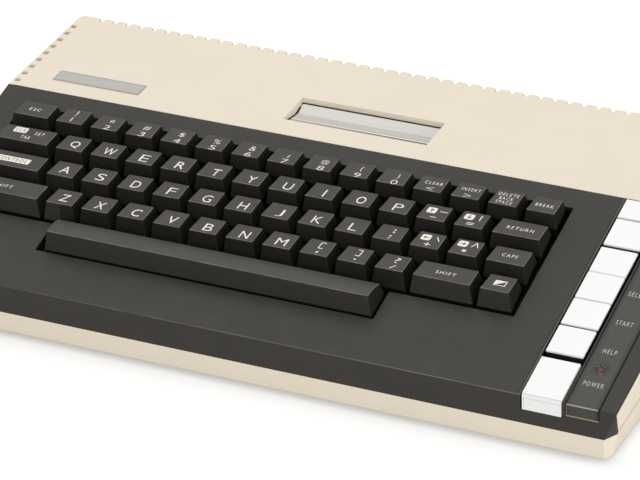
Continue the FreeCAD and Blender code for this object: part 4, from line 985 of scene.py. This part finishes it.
def pale_floor():
    """A white floor, lifted a little where it is seen straight on so that it meets the background."""
    material, tree, shader = blank_material("pale_floor", 0.9, specular=0.1)
    shade = spread(tree, noise(tree, object_place(tree), 3.0, 3.0), 0.3, 0.7)
    colour = blend_colour(tree, shade, (0.80, 0.80, 0.80), (0.82, 0.82, 0.82))
    tree.links.new(colour, shader.inputs["Base Color"])
    seen = tree.nodes.new("ShaderNodeLightPath")
    shader.inputs["Emission Color"].default_value = (1, 1, 1, 1)
    glow = maths(tree, "MULTIPLY", seen.outputs["Is Camera Ray"], FLOOR_GLOW)
    tree.links.new(glow, shader.inputs["Emission Strength"])
    data = bpy.data.meshes.new("floor")
    data.from_pydata([(-9, -9, 0), (9, -9, 0), (9, 9, 0), (-9, 9, 0)], [], [(0, 1, 2, 3)])
    data.materials.append(material)
    floor = bpy.data.objects.new("floor", data)
    bpy.context.scene.collection.objects.link(floor)


def soft_lamp(name, place, target, width, height, power):
    data = bpy.data.lights.new(name, "AREA")
    data.shape = "RECTANGLE"
    data.size = width
    data.size_y = height
    data.energy = power
    lamp = bpy.data.objects.new(name, data)
    lamp.location = place
    lamp.rotation_euler = (Vector(target) - Vector(place)).to_track_quat("-Z", "Y").to_euler()
    bpy.context.scene.collection.objects.link(lamp)


def surroundings():
    """A white room that every ray sees, kept dimmer as a source of light than as a background."""
    world = bpy.data.worlds.new("white_room")
    bpy.context.scene.world = world
    world.use_nodes = True
    tree = world.node_tree
    tree.nodes.clear()
    out = tree.nodes.new("ShaderNodeOutputWorld")
    lit = tree.nodes.new("ShaderNodeBackground")
    lit.inputs["Color"].default_value = (1, 1, 1, 1)
    lit.inputs["Strength"].default_value = ROOM_LIGHT
    shown = tree.nodes.new("ShaderNodeBackground")
    shown.inputs["Color"].default_value = (1, 1, 1, 1)
    shown.inputs["Strength"].default_value = 1.0
    path = tree.nodes.new("ShaderNodeLightPath")
    mix = tree.nodes.new("ShaderNodeMixShader")
    tree.links.new(path.outputs["Is Camera Ray"], mix.inputs[0])
    tree.links.new(lit.outputs[0], mix.inputs[1])
    tree.links.new(shown.outputs[0], mix.inputs[2])
    tree.links.new(mix.outputs[0], out.inputs["Surface"])


pale_floor()
soft_lamp("overhead_lamp", (-0.5, 0.5, 1.7), (0, 0, 0), 1.6, 1.6, 13.5)
soft_lamp("front_lamp", (0.7, -1.7, 0.9), (0, 0, 0), 1.4, 1.0, 12.5)
soft_lamp("side_lamp", (1.9, 0.1, 0.5), (0, 0, 0.03), 1.0, 0.8, 9.0)
surroundings()
bpy.context.scene.view_settings.view_transform = "Standard"
